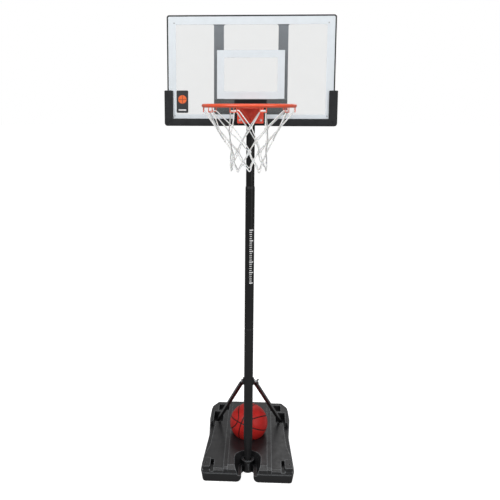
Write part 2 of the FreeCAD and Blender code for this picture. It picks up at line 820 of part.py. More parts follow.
def make_brace_fasteners():
    reach = "pole_diameter / 2 + saddle_depth + brace_tab_thickness"
    height = "brace_bolt_height"
    shank = rod("brace_bolt_shank", "brace_bolt_radius", f"2 * ({reach}) + 16",
                (f"-({reach})", "0", height), "X")
    head = hexagon("brace_bolt_head", "7.5", "5.5", (f"-({reach}) - 5.5", "0", height), "X")
    finished("brace_pole_bolt", fuse("brace_pole_bolt", shank, head))

    hub = cone("wing_hub", "7", "5.5", "12", (reach, "0", height), "X")
    wings = []
    for index, turn in enumerate((35, 215)):
        wing = new_body(f"wing_{index}")
        add_slab(wing, f"wing_plate_{index}", "Y", "-1.4", "1.4", rounded([
            (value("pole_diameter") / 2 + 14, 3), (value("pole_diameter") / 2 + 20, 3),
            (value("pole_diameter") / 2 + 28, 15, 4), (value("pole_diameter") / 2 + 21, 19, 4)]))
        place(wing, "0", "0", height, rotation=Rotation(AXES["X"], turn))
        wings.append(wing)
    nut = cut("brace_wing_nut", fuse("wing_solid", hub, *wings),
              rod("wing_bore", "brace_bolt_radius + 0.05", "60", ("0", "0", height), "X"))
    finished("brace_wing_nut", nut)

    screws = []
    for side, name in ((1, "right"), (-1, "left")):
        screw = brace_line(side)[3]
        shaft = rod(f"foot_screw_shaft_{name}", "bolt_radius", "brace_tab_thickness + 7",
                    (screw.x, screw.y, "brace_pocket_floor - 7"))
        top = rod(f"foot_screw_head_{name}", "bolt_head_radius", "3",
                  (screw.x, screw.y, "brace_pocket_floor + brace_tab_thickness"))
        screws.append(fuse(f"foot_screw_{name}", shaft, top))
    finished("brace_foot_screws", group("brace_foot_screws", *screws))


def make_height_lock():
    """Knob at the rear of the middle pole that clamps the sliding pole."""
    outside = "pole_diameter / 2"
    height = "lock_height"
    boss = cut("lock_boss",
               rod("boss_solid", "9", "13", ("0", outside + " - 3", height), "Y"),
               rod("boss_pole_space", outside, "100", ("0", "0", height + " - 50")),
               rod("boss_bore", "lock_screw_radius + 0.05", "60", ("0", "0", height), "Y"))
    finished("lock_boss", boss)
    tip = "upper_pole_diameter / 2 + 0.3"
    finished("lock_screw", rod("lock_screw", "lock_screw_radius", f"42 - ({tip})", ("0", tip, height), "Y"))
    knob = new_body("lock_knob_grip")
    radius = value("lock_knob_radius")
    centre_z = value("lock_height")
    add_slab(knob, "knob_disc", "Y", "pole_diameter / 2 + 12", "pole_diameter / 2 + 28",
             circle(0, centre_z, radius - 3))
    for index in range(6):
        angle = math.radians(60 * index)
        add_slab(knob, f"knob_lobe_{index}", "Y", "pole_diameter / 2 + 13", "pole_diameter / 2 + 27",
                 circle((radius - 5) * math.cos(angle), centre_z + (radius - 5) * math.sin(angle), 5))
    finished("lock_knob", cut("lock_knob", knob, rod("knob_bore", "lock_screw_radius", "42",
                                                     ("0", "0", height), "Y")))


def make_ball():
    outer = doc.addObject("Part::Sphere", "ball_cover")
    bind(outer, Radius="ball_diameter / 2")
    place(outer, "0", "ball_place_y", "ball_centre_height")
    inner = doc.addObject("Part::Sphere", "ball_air")
    bind(inner, Radius="ball_diameter / 2 - ball_wall")
    place(inner, "0", "ball_place_y", "ball_centre_height")
    finished("basketball", cut("basketball", outer, inner))


# ---------------------------------------------------------------- board

def board_outline(inset, radius):
    half = value("board_width") / 2 - inset
    return rectangle(-half, half, value("board_bottom") + inset, value("board_top") - inset, radius)


def mount_holes(radius=None):
    """The four rim bolts' holes, as circles in a plan of the board."""
    radius = radius or value("bolt_hole_radius")
    place_x = value("mount_bolt_place")
    heights = (value("mount_bolt_lower"), value("mount_bolt_upper"))
    return [circle(side * place_x, height, radius) for side in (-1, 1) for height in heights]


def make_board():
    rear = "board_front + board_thickness"
    corner = value("board_corner")
    edge = value("trim_thickness")
    panel = new_body("backboard_panel")
    add_slab(panel, "panel_sheet", "Y", "board_front", rear,
             board_outline(edge, corner - edge), *mount_holes())
    screw_spaces = [rod(f"panel_screw_space_{index}", "1.6", "20", (x, "board_front - 5", z), "Y")
                    for index, (x, z) in enumerate(PANEL_SCREW_PLACES)]
    finished("backboard_panel", cut("backboard_panel", panel, *screw_spaces))

    trim = new_body("edge_trim")
    add_slab(trim, "trim_ring", "Y", "board_front - trim_thickness", rear + " + trim_thickness",
             board_outline(0, corner), board_outline(value("trim_face"), corner - value("trim_face")))
    cut_slab(trim, "trim_slot", "Y", "board_front", rear, board_outline(edge, corner - edge))
    plate_room = box("trim_plate_room", ("-(back_plate_half_width + 0.5)", "back_plate_half_width + 0.5"),
                     ("board_front - 5", "board_front"), ("board_bottom - 5", "board_bottom + 10"))
    finished("edge_trim", cut("edge_trim", trim, plate_room))


def frame_loops(thinner):
    """Outer edge of the rear frame and its three windows, with every bar's sides moved inwards."""
    border = value("window_half_width") + value("frame_bar") - thinner
    low = value("window_bottom") - value("frame_bar") + thinner
    high = value("window_top") + value("frame_bar") - thinner
    half_upright = value("upright_width") / 2 - thinner
    near = value("upright_place") - half_upright
    far = value("upright_place") + half_upright
    side = value("window_half_width") + thinner
    bottom = value("window_bottom") - thinner
    top = value("window_top") + thinner
    corner = value("window_corner")
    flare = value("upright_flare")
    middle = rounded([(-near, bottom, corner), (near, bottom, corner),
                      (near, top, flare), (-near, top, flare)])
    outer = [rounded([(hand * far, bottom, corner), (hand * side, bottom, corner), (hand * side, top, corner),
                      (hand * far, top, flare)]) for hand in (-1, 1)]
    return [rectangle(-border, border, low, high, 6), middle] + outer


def make_board_support():
    """Moulded frame with an open back, and the steel plate let into its uprights."""
    front = "board_front + board_thickness"
    frame = new_body("rear_frame_moulding")
    add_slab(frame, "frame_face", "Y", front, f"{front} + frame_depth", *frame_loops(0))
    cut_slab(frame, "frame_back", "Y", f"{front} + frame_wall", f"{front} + frame_depth",
             *frame_loops(value("frame_wall")))
    backing = box("rim_backing", ("-62", "62"), (front + " + 1", front + " + frame_depth"),
                  ("window_bottom - frame_bar + 1", "window_bottom"))
    recess = box("cross_plate_recess", ("-(cross_plate_half_width + 0.3)", "cross_plate_half_width + 0.3"),
                 (front + " - 1", front + " + cross_plate_thickness"),
                 ("cross_plate_bottom - 0.3", "cross_plate_top + 0.3"))
    bolt_spaces = [rod(f"frame_bolt_hole_{index}", "bolt_hole_radius", "60",
                       (f"{side} * mount_bolt_place", "board_front - 10", "mount_bolt_lower"), "Y")
                   for index, side in enumerate((-1, 1))]
    screw_spaces = [rod(f"frame_screw_hole_{index}", "1.6", "14", (x, front + " - 1", z), "Y")
                    for index, (x, z) in enumerate(PANEL_SCREW_PLACES)]
    finished("rear_frame", cut("rear_frame", fuse("frame_backed", frame, backing), recess,
                               *bolt_spaces, *screw_spaces))

    plate = new_body("cross_plate")
    half = value("cross_plate_half_width")
    upper = value("mount_bolt_upper")
    holes = [circle(side * value("mount_bolt_place"), upper, value("bolt_hole_radius")) for side in (-1, 1)]
    add_slab(plate, "cross_sheet", "Y", front, f"{front} + cross_plate_thickness",
             rectangle(-half, half, value("cross_plate_bottom"), value("cross_plate_top"), 4), *holes)
    finished("cross_plate", plate)


def make_frame_screws():
    """Small screws that hold the clear panel to its frame."""
    screws = []
    for index, (x, z) in enumerate(PANEL_SCREW_PLACES):
        head = cone(f"panel_screw_head_{index}", "2.2", "3.2", "1.5", (x, "board_front - 1.5", z), "Y")
        shaft = rod(f"panel_screw_shaft_{index}", "1.5", "board_thickness + 8", (x, "board_front", z), "Y")
        screws.append(fuse(f"panel_screw_{index}", head, shaft))
    finished("panel_screws", group("panel_screws", *screws))


def make_pads():
    """L-shaped foam pads with a groove that grips the board's lower corners."""
    gap = value("pad_gap")
    for side, name in ((1, "right"), (-1, "left")):
        outer = value("pad_half_width")
        inner = value("pad_inner_end")
        reach = outer - value("pad_side_width")
        low = value("pad_bottom")
        shelf = low + value("pad_lower_height")
        high = value("pad_side_top")
        corners = [(inner, low, 5), (outer, low, 12), (outer, high, 5), (reach, high, 5), (reach, shelf, 6),
                   (inner, shelf, 5)]
        body = new_body(f"pad_{name}")
        add_slab(body, f"pad_block_{name}", "Y", "pad_front", "pad_rear",
                 rounded([(side * u, v, r) for u, v, r in corners]))
        board_half = value("board_width") / 2 + gap
        groove = [(inner - 20, value("board_bottom") - gap), (board_half, value("board_bottom") - gap, 10),
                  (board_half, high + 20), (inner - 20, high + 20)]
        cut_slab(body, f"pad_groove_{name}", "Y", "board_front - trim_thickness - pad_gap",
                 "board_front + board_thickness + frame_depth + pad_gap",
                 rounded([(side * corner[0], *corner[1:]) for corner in groove]))
        finished(f"pad_{name}", body)


def make_pole_bracket():
    """Steel channel that joins the board's cross plate to the sliding pole."""
    web_front = "board_front + board_thickness + cross_plate_thickness"
    low = "cross_plate_bottom + 2"
    high = "cross_plate_top - 10"
    inside = "upper_pole_diameter / 2 + 0.3"
    outside = f"{inside} + plate_thickness"
    web = box("bracket_web", ("-(mount_bolt_place + 12)", "mount_bolt_place + 12"),
              (web_front, f"{web_front} + plate_thickness"), (low, high))
    right = box("bracket_right_ear", (inside, outside), (web_front, "26"), (low, high))
    left = box("bracket_left_ear", (f"-({outside})", f"-({inside})"), (web_front, "26"), (low, high))
    holes = [rod(f"bracket_cross_hole_{index}", "bolt_hole_radius", "80", ("-40", "0", height), "X")
             for index, height in enumerate(BRACKET_BOLT_HEIGHTS)]
    holes += [rod(f"bracket_bolt_space_{index}", "bolt_hole_radius", "20",
                  (f"{side} * mount_bolt_place", web_front + " - 5", "mount_bolt_upper"), "Y")
              for index, side in enumerate((-1, 1))]
    finished("pole_bracket", cut("pole_bracket", fuse("bracket_channel", web, right, left), *holes))

    bolts = []
    nuts = []
    for index, height in enumerate(BRACKET_BOLT_HEIGHTS):
        shank = rod(f"cross_bolt_shank_{index}", "bolt_radius", f"2 * ({outside}) + 9",
                    (f"-({outside})", "0", height), "X")
        head = hexagon(f"cross_bolt_head_{index}", "nut_radius", "4", (f"-({outside}) - 4", "0", height), "X")
        bolts.append(fuse(f"cross_bolt_{index}", shank, head))
        nut = hexagon(f"cross_nut_solid_{index}", "nut_radius", "nut_height", (outside, "0", height), "X")
        nut_bore = rod(f"cross_nut_bore_{index}", "bolt_radius", "60", ("0", "0", height), "X")
        nuts.append(cut(f"cross_nut_{index}", nut, nut_bore))
    finished("bracket_bolts", group("bracket_bolts", *bolts))
    finished("bracket_nuts", group("bracket_nuts", *nuts))


# ---------------------------------------------------------------- rim mounting

def make_rim_mounting():
    face = "board_front - back_plate_thickness"
    mount_front = f"{face} - plate_thickness"
    back = new_body("rim_back_plate")
    half = value("back_plate_half_width")
    add_slab(back, "back_sheet", "Y", face, "board_front",
             rectangle(-half, half, value("back_plate_bottom"), value("back_plate_top"), 3), *mount_holes())
    finished("rim_back_plate", back)

    mount = new_body("rim_mount_sheet")
    half = value("mount_plate_half_width")
    add_slab(mount, "mount_face", "Y", mount_front, face,
             rectangle(-half, half, value("mount_plate_bottom"), value("mount_plate_top"), 4), *mount_holes())
    pin_y = value("hinge_place_y")
    pin_z = value("hinge_height")
    front = value("board_front") - value("back_plate_thickness") - value("plate_thickness")
    ear = value("hinge_ear_half_height")
    lug = rounded([(front, pin_z - ear), (pin_y - ear, pin_z - ear, ear - 0.1),
                   (pin_y - ear, pin_z + ear, ear - 0.1), (front, pin_z + ear)])
    for side, (low, high) in (("right", ("12", "15")), ("left", ("-15", "-12"))):
        add_slab(mount, f"hinge_ear_{side}", "X", low, high, lug)
    axis_point = ("hinge_place_y", "hinge_height")
    ear_bore = rod("ear_bore", "hinge_pin_radius", "40", ("-20", *axis_point), "X")
    finished("rim_mount_plate", cut("rim_mount_plate", mount, ear_bore))
    pin = fuse("hinge_pin",
               rod("pin_shaft", "hinge_pin_radius", "34", ("-17", *axis_point), "X"),
               rod("pin_head", "hinge_pin_radius + 2", "2", ("-19", *axis_point), "X"))
    finished("hinge_pin", pin)

    bolts = []
    nuts = []
    panel_rear = "board_front + board_thickness"
    rear_faces = {"mount_bolt_lower": panel_rear + " + frame_depth",
                  "mount_bolt_upper": panel_rear + " + cross_plate_thickness + plate_thickness"}
    for height, rear in rear_faces.items():
        for side in (-1, 1):
            label = f"{height[11:]}_{'left' if side < 0 else 'right'}"
            across = f"{side} * mount_bolt_place"
            grip = f"({rear}) - ({mount_front}) + nut_height + 3"
            shank = rod(f"rim_bolt_shank_{label}", "bolt_radius", grip, (across, mount_front, height), "Y")
            head = cone(f"rim_bolt_head_{label}", "bolt_head_radius - 2", "bolt_head_radius",
                        "bolt_head_height", (across, f"{mount_front} - bolt_head_height", height), "Y")
            bolts.append(fuse(f"rim_bolt_{label}", shank, head))
            nut = hexagon(f"rim_nut_solid_{label}", "nut_radius", "nut_height", (across, rear, height), "Y")
            nut_bore = rod(f"rim_nut_bore_{label}", "bolt_radius", "40",
                           (across, f"{rear} - 10", height), "Y")
            nuts.append(cut(f"rim_nut_{label}", nut, nut_bore))
    finished("mount_bolts", group("mount_bolts", *bolts))
    finished("mount_nuts", group("mount_nuts", *nuts))


def make_rim_spring():
    """Bolt, nut and spring that hold the rim level and let it give under a pull."""
    mount_front = "board_front - back_plate_thickness - plate_thickness"
    plate_front = "hinge_place_y + 3.5 - plate_thickness"
    height = "spring_height"
    end = "hinge_place_y - 25"
    shank = rod("spring_bolt_shank", "bolt_radius", f"({mount_front}) - ({end})", ("0", end, height), "Y")
    finished("spring_bolt", shank)
    flats = hexagon("spring_nut_hex", "nut_radius", "nut_height", ("0", f"{end} + 2", height), "Y")
    washer = rod("spring_washer", "spring_radius + 1", "1.5", ("0", f"{end} + 2 + nut_height", height), "Y")
    nut_bore = rod("spring_nut_bore", "bolt_radius", "60", ("0", f"{end} - 5", height), "Y")
    finished("spring_nut", cut("spring_nut", fuse("spring_nut_solid", flats, washer), nut_bore))

    wire = value("spring_wire_radius")
    low = value("hinge_place_y") - 25 + 2 + value("nut_height") + 1.5
    high = value("hinge_place_y") + 3.5 - value("plate_thickness")
    coil_radius = value("spring_radius") - wire
    rise = high - low - 2 * wire - 0.2
    helix = Part.makeHelix(rise / 5, rise, coil_radius)
    profile = Part.Wire(Part.makeCircle(wire, Vector(coil_radius, 0, 0), AXES["Y"]))
    coil = Part.Wire(helix).makePipeShell([profile], True, True)
    spring = doc.addObject("Part::Feature", "breakaway_spring")
    spring.Shape = coil
    spring.Placement = Placement(Vector(0, low + wire + 0.1, value("spring_height")), ALONG["Y"])
    finished("breakaway_spring", spring)


def make_rim_carrier():
    """Pressed plate that the ring is welded to; it pivots at its lower end."""
    plate_back = value("hinge_place_y") + 3.5
    plate_front = plate_back - value("plate_thickness")
    half = value("hinge_plate_half_width")
    flange_top = value("rim_height") - value("rim_bar_radius")
    pin_z = value("hinge_height")
    spring_z = value("spring_height")
    body = new_body("rim_carrier")
    add_slab(body, "carrier_face", "Y", plate_front, plate_back,
             rounded([(-10, pin_z), (10, pin_z), (10, pin_z + 14, 3), (half, pin_z + 22, 6),
                      (half, flange_top), (-half, flange_top), (-half, pin_z + 22, 6),
                      (-10, pin_z + 14, 3)]),
             circle(0, spring_z, value("bolt_radius") + 2.2))
    ring_back = value("rim_centre") + value("rim_radius")
    shelf_front = ring_back - 4
    shelf_corner = ring_back + 10  # the corners are cut off, so the rear hooks hang clear of them
    add_slab(body, "carrier_shelf", "Z", flange_top - value("plate_thickness"), flange_top,
             rounded([(-half, plate_back), (-half - 14, shelf_corner, 4), (-half + 8, shelf_front, 4),
                      (half - 8, shelf_front, 4), (half + 14, shelf_corner, 4), (half, plate_back)]))
    barrel = rod("carrier_barrel", "hinge_barrel_radius", "20", ("-10", "hinge_place_y", "hinge_height"), "X")
    bore = rod("carrier_bore", "hinge_pin_radius + 0.05", "40", ("-20", "hinge_place_y", "hinge_height"), "X")
    weld_gap = ring_torus("shelf_ring_space")
    finished("rim_hinge_plate", cut("rim_hinge_plate", fuse("carrier_solid", body, barrel), bore, weld_gap))


def ring_torus(name):
    item = doc.addObject("Part::Torus", name)
    bind(item, Radius1="rim_radius", Radius2="rim_bar_radius")
    place(item, "0", "rim_centre", "rim_height")
    return item


def make_hook(index, turn):
    """One loop of wire under the ring: two legs and the bar between their feet."""
    wire = "hook_wire_radius"
    height = "rim_height - rim_bar_radius - hook_drop + hook_wire_radius"
    half = value("hook_half_width")
    items = []
    for end, name in ((-1, "start"), (1, "end")):
        foot = turn.multVec(Vector(value("rim_radius"), end * half, 0))
        here = (str(foot.x), f"rim_centre + ({foot.y})", height)
        items.append(rod(f"hook_leg_{name}_{index}", wire, "hook_drop + 2", here))
        bend = doc.addObject("Part::Sphere", f"hook_bend_{name}_{index}")
        bind(bend, Radius=wire)
        place(bend, *here)
        items.append(bend)
    start = turn.multVec(Vector(value("rim_radius"), -half, 0))
    here = (str(start.x), f"rim_centre + ({start.y})", height)
    bar = rod(f"hook_bar_{index}", wire, "2 * hook_half_width", here)
    place(bar, *here, rotation=turn * ALONG["Y"])
    return fuse(f"hook_{index}", bar, *items)


def make_ring_and_hooks():
    ring = finished("rim_ring", ring_torus("rim_ring"))
    hooks = []
    count = int(value("hook_count"))
    for index in range(count):
        turn = Rotation(AXES["Z"], 360 / count * (index + 0.5) - 90)
        hooks.append(cut(f"hook_welded_{index}", make_hook(index, turn), ring))
    finished("net_hooks", group("net_hooks", *hooks))


def make_struts():
    """Flat bars in a V from the ring's shelf down to the hinge barrel."""
    ring_back = value("rim_centre") + value("rim_radius")
    shelf = value("rim_height") - value("rim_bar_radius") - value("plate_thickness")
    for side, name in ((1, "right"), (-1, "left")):
        high = Vector(side * (value("hinge_plate_half_width") + 6), ring_back + 12, shelf)
        barrel_front = value("hinge_place_y") - value("hinge_barrel_radius")
        low = Vector(side * 7, barrel_front + 1.5, value("hinge_height"))
        run = high - low
        run_unit = Vector(run)
        run_unit.normalize()
        aim = Rotation(Vector(1, 0, 0), Vector(0, 1, 0), run_unit, "ZXY")
        bar = doc.addObject("Part::Box", f"strut_bar_{name}")
        bar.Length = 12
        bar.Width = value("plate_thickness")
        bar.Height = run.Length + 12
        bar.Placement = Placement(low - aim.multVec(Vector(6, value("plate_thickness") / 2, 6)), aim)
        above = box(f"strut_above_{name}", ("-100", "100"), ("-300", "0"), (shelf, shelf + 60))
        barrel_space = rod(f"strut_barrel_space_{name}", "hinge_barrel_radius", "60",
                           ("-30", "hinge_place_y", "hinge_height"), "X")
        inward = sorted((0, -side * 60))
        middle = box(f"strut_middle_{name}", inward, ("-300", "0"), ("hinge_height - 40", shelf + 60))
        ear_side = sorted((side * 11.5, side * 60))
        ear_space = box(f"strut_ear_space_{name}", ear_side, ("hinge_place_y - 9", "0"),
                        ("hinge_height - 30", "hinge_height + 12"))
        finished(f"rim_strut_{name}", cut(f"rim_strut_{name}", bar, above, barrel_space, middle, ear_space))


def make_net():
    """Plain funnel that stands for the knotted cord net."""
    top = value("net_top")
    bottom = value("net_bottom")
    skin = 2
    radii = [(top, 163), (1566, 121), (1514, 84), (1458, 68), (bottom, 71)]
    outer = [(radius, height) for height, radius in radii]
    inner = [(radius - skin, height) for height, radius in reversed(radii)]
    body = new_body("net")
    turned(body, "net_funnel", outer + inner)
    place(body, "0", "rim_centre", "0")
    finished("net", body)


def main():
    make_base_tank()
    make_fill_cap()
    make_poles()
    make_saddles()
    make_brace("brace_left", -1)
    make_brace("brace_right", 1)
    make_brace_fasteners()
    make_height_lock()
    make_ball()
    make_board()
    make_board_support()
    make_frame_screws()
    make_pads()
    make_pole_bracket()
    make_rim_mounting()
    make_rim_spring()
    make_rim_carrier()
    make_ring_and_hooks()
    make_struts()
    make_net()
    doc.recompute()

    faults = [item.Name for item in doc.Objects if {"Invalid", "Error"} & set(item.State)]
    if faults:
        raise RuntimeError("failed features: " + ", ".join(faults))
    for node, item in parts.items():
        if item.Shape.isNull() or not item.Shape.isValid() or item.Shape.Volume <= 0:
            raise RuntimeError("bad shape: " + node)
    os.makedirs("parts", exist_ok=True)
    for node, item in parts.items():
        item.Shape.exportStep(f"parts/{node}.step")
        bounds = item.Shape.BoundBox
        print(f"{node:20s} {item.Shape.Volume / 1000:9.2f} cm3  x {bounds.XMin:.1f} {bounds.XMax:.1f}"
              f"  y {bounds.YMin:.1f} {bounds.YMax:.1f}  z {bounds.ZMin:.1f} {bounds.ZMax:.1f}")


main()
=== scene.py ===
import math
import random

import bmesh
import bpy
from mathutils import Matrix, Vector


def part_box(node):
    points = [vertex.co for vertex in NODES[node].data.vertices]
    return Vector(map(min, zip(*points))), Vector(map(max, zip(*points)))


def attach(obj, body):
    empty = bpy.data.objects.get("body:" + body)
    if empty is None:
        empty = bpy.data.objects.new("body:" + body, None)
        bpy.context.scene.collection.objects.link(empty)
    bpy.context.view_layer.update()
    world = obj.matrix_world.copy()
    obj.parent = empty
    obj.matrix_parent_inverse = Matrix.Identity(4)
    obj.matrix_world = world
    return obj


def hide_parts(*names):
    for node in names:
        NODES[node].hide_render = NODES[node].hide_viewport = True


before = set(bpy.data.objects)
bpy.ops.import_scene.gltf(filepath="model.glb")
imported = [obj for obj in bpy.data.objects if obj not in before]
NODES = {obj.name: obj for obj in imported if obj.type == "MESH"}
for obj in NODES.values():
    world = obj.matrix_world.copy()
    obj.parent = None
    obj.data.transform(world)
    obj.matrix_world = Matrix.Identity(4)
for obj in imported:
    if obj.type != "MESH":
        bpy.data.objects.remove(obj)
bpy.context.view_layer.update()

MM = 0.001
LIBRARY = {}


# ---------------------------------------------------------------- camera and light

RIM_LOW, RIM_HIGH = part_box("rim_ring")
BOARD_LOW, BOARD_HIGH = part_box("backboard_panel")
POLE_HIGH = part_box("mid_pole")[1]
RIM_CENTRE = (RIM_LOW + RIM_HIGH) / 2
RIM_BAR = (RIM_HIGH.z - RIM_LOW.z) / 2
RIM_RADIUS = (RIM_HIGH.x - RIM_LOW.x) / 2 - RIM_BAR


def make_camera():
    """A viewer at rim height, almost in front of the hoop, aiming slightly down and to its left."""
    distance = 2.964
    height = 1.640
    bearing = math.radians(1.05)
    aim_left = math.radians(3.40)
    aim_down = math.radians(9.65)
    lean = math.radians(0.10)
    data = bpy.data.cameras.new("camera")
    data.lens = 50.4
    data.sensor_width = 36
    data.shift_x = 0.057
    data.shift_y = -0.05
    camera = bpy.data.objects.new("camera", data)
    place = Vector((distance * math.sin(bearing), -distance * math.cos(bearing), height))
    turned = Matrix.Rotation(aim_left, 4, "Z") @ Matrix.Rotation(math.radians(90) - aim_down, 4, "X")
    camera.matrix_world = Matrix.Translation(place) @ turned @ Matrix.Rotation(lean, 4, "Z")
    bpy.context.scene.collection.objects.link(camera)
    bpy.context.scene.camera = camera


def make_lamp(name, place, aim, size, watts):
    """A white rectangular lamp that shines from its place towards an aim."""
    data = bpy.data.lights.new(name, "AREA")
    data.shape = "RECTANGLE"
    data.size, data.size_y = size
    data.energy = watts
    lamp = bpy.data.objects.new(name, data)
    lamp.location = place
    lamp.rotation_euler = (Vector(aim) - Vector(place)).to_track_quat("-Z", "Y").to_euler()
    bpy.context.scene.collection.objects.link(lamp)


def make_surroundings():
    """A white backdrop that sheds only a soft, dim light on the hoop."""
    world = bpy.data.worlds.new("studio")
    world.use_nodes = True
    tree = world.node_tree
    backdrop = tree.nodes["Background"]
    backdrop.inputs["Color"].default_value = (1, 1, 1, 1)
    backdrop.inputs["Strength"].default_value = 1.0
    shed = tree.nodes.new("ShaderNodeBackground")
    shed.inputs["Color"].default_value = (1, 1, 1, 1)
    shed.inputs["Strength"].default_value = 0.32
    paths = tree.nodes.new("ShaderNodeLightPath")
    choice = tree.nodes.new("ShaderNodeMixShader")
    tree.links.new(paths.outputs["Is Camera Ray"], choice.inputs["Fac"])
    tree.links.new(shed.outputs["Background"], choice.inputs[1])
    tree.links.new(backdrop.outputs["Background"], choice.inputs[2])
    tree.links.new(choice.outputs["Shader"], tree.nodes["World Output"].inputs["Surface"])
    bpy.context.scene.world = world


def make_studio():
    """Pale floor, pale surroundings and four soft lamps."""
    bpy.context.scene.view_settings.view_transform = "Standard"
    make_surroundings()
    make_lamp("key", (-2.2, -3.0, 3.2), (0, 0, 1.1), (1.6, 1.6), 78)
    make_lamp("fill", (2.6, -2.6, 1.9), (0, 0, 1.0), (1.4, 2.2), 42)
    make_lamp("top", (0.2, -1.8, 3.5), (0, 0, 0.1), (2.4, 0.9), 27)
    make_lamp("back", (0.6, 2.8, 2.8), (0, 0, 0.8), (1.8, 1.2), 14)

    bpy.ops.mesh.primitive_circle_add(vertices=96, radius=60, fill_type="NGON", location=(0, 0, 0))
    floor = bpy.context.object
    floor.name = "floor"
    bsdf, _ = principled("floor_paper", (0.96, 0.96, 0.96), 0.9)
    bsdf.inputs["Specular IOR Level"].default_value = 0.1
    bsdf.inputs["Emission Color"].default_value = (1, 1, 1, 1)
    bsdf.inputs["Emission Strength"].default_value = 0.72
    floor.data.materials.append(LIBRARY["floor_paper"])
    floor.visible_diffuse = False
    floor.visible_glossy = False


# ---------------------------------------------------------------- materials

def principled(name, colour, roughness):
    """A new material in the library: its Principled shader and its node tree."""
    material = bpy.data.materials.new(name)
    material.use_nodes = True
    tree = material.node_tree
    bsdf = tree.nodes["Principled BSDF"]
    bsdf.inputs["Base Color"].default_value = (*colour, 1)
    bsdf.inputs["Roughness"].default_value = roughness
    LIBRARY[name] = material
    return bsdf, tree


def noise(tree, scale, detail=3.0, roughness=0.55, squash=None):
    """Noise over the object's own coordinates; squash stretches it along an axis."""
    coordinates = tree.nodes.new("ShaderNodeTexCoord")
    texture = tree.nodes.new("ShaderNodeTexNoise")
    texture.inputs["Scale"].default_value = scale
    texture.inputs["Detail"].default_value = detail
    texture.inputs["Roughness"].default_value = roughness
    source = coordinates.outputs["Object"]
    if squash:
        mapping = tree.nodes.new("ShaderNodeMapping")
        mapping.inputs["Scale"].default_value = squash
        tree.links.new(source, mapping.inputs["Vector"])
        source = mapping.outputs["Vector"]
    tree.links.new(source, texture.inputs["Vector"])
    return texture.outputs["Fac"]


def ramp(tree, source, low, high, start=0.3, end=0.7):
    """A colour ramp from low to high as the source goes from start to end."""
    node = tree.nodes.new("ShaderNodeValToRGB")
    node.color_ramp.elements[0].position = start
    node.color_ramp.elements[1].position = end
    node.color_ramp.elements[0].color = (*low, 1)
    node.color_ramp.elements[1].color = (*high, 1)
    tree.links.new(source, node.inputs["Fac"])
    return node.outputs["Color"]


def grey(level):
    """A colour with three equal channels."""
    return (level, level, level)


def mix_colours(tree, amount, first, second):
    """The first colour where the amount is 0 and the second where it is 1."""
    node = tree.nodes.new("ShaderNodeMix")
    node.data_type = "RGBA"
    tree.links.new(amount, node.inputs["Factor"])
    for socket, source in ((node.inputs["A"], first), (node.inputs["B"], second)):
        if isinstance(source, tuple):
            socket.default_value = (*source, 1)
        else:
            tree.links.new(source, socket)
    return node.outputs["Result"]


def bump(tree, bsdf, heights):
    """Bump from a list of (height source, strength, distance), one over the other."""
    normal = None
    for source, strength, distance in heights:
        node = tree.nodes.new("ShaderNodeBump")
        node.inputs["Strength"].default_value = strength
        node.inputs["Distance"].default_value = distance
        tree.links.new(source, node.inputs["Height"])
        if normal:
            tree.links.new(normal, node.inputs["Normal"])
        normal = node.outputs["Normal"]
    tree.links.new(normal, bsdf.inputs["Normal"])


def edge_highlight_mask(tree, width):
    """1 on convex edges and 0 elsewhere, from how far a rounded normal leaves the true one; it places painted
    highlights.
    """
    flat = 0.995
    sharp = 0.88
    bevel = tree.nodes.new("ShaderNodeBevel")
    bevel.samples = 4
    bevel.inputs["Radius"].default_value = width
    geometry = tree.nodes.new("ShaderNodeNewGeometry")
    dot = tree.nodes.new("ShaderNodeVectorMath")
    dot.operation = "DOT_PRODUCT"
    tree.links.new(bevel.outputs["Normal"], dot.inputs[0])
    tree.links.new(geometry.outputs["Normal"], dot.inputs[1])
    remap = tree.nodes.new("ShaderNodeMapRange")
    remap.inputs["From Min"].default_value = flat
    remap.inputs["From Max"].default_value = sharp
    tree.links.new(dot.outputs["Value"], remap.inputs["Value"])
    return remap.outputs["Result"]


def painted_shade_mask(tree, reach):
    """1 on open faces, falling to 0 deep in hollows and corners, where it paints shade into the colour."""
    hidden = 0.30
    open_enough = 0.85
    shade = tree.nodes.new("ShaderNodeAmbientOcclusion")
    shade.samples = 8
    shade.inputs["Distance"].default_value = reach
    remap = tree.nodes.new("ShaderNodeMapRange")
    remap.inputs["From Min"].default_value = hidden
    remap.inputs["From Max"].default_value = open_enough
    tree.links.new(shade.outputs["AO"], remap.inputs["Value"])
    return remap.outputs["Result"]


def height_mask(tree):
    """0 at the foot of a part, rising evenly to 1 at its top."""
    coordinates = tree.nodes.new("ShaderNodeTexCoord")
    split = tree.nodes.new("ShaderNodeSeparateXYZ")
    tree.links.new(coordinates.outputs["Generated"], split.inputs["Vector"])
    return split.outputs["Z"]


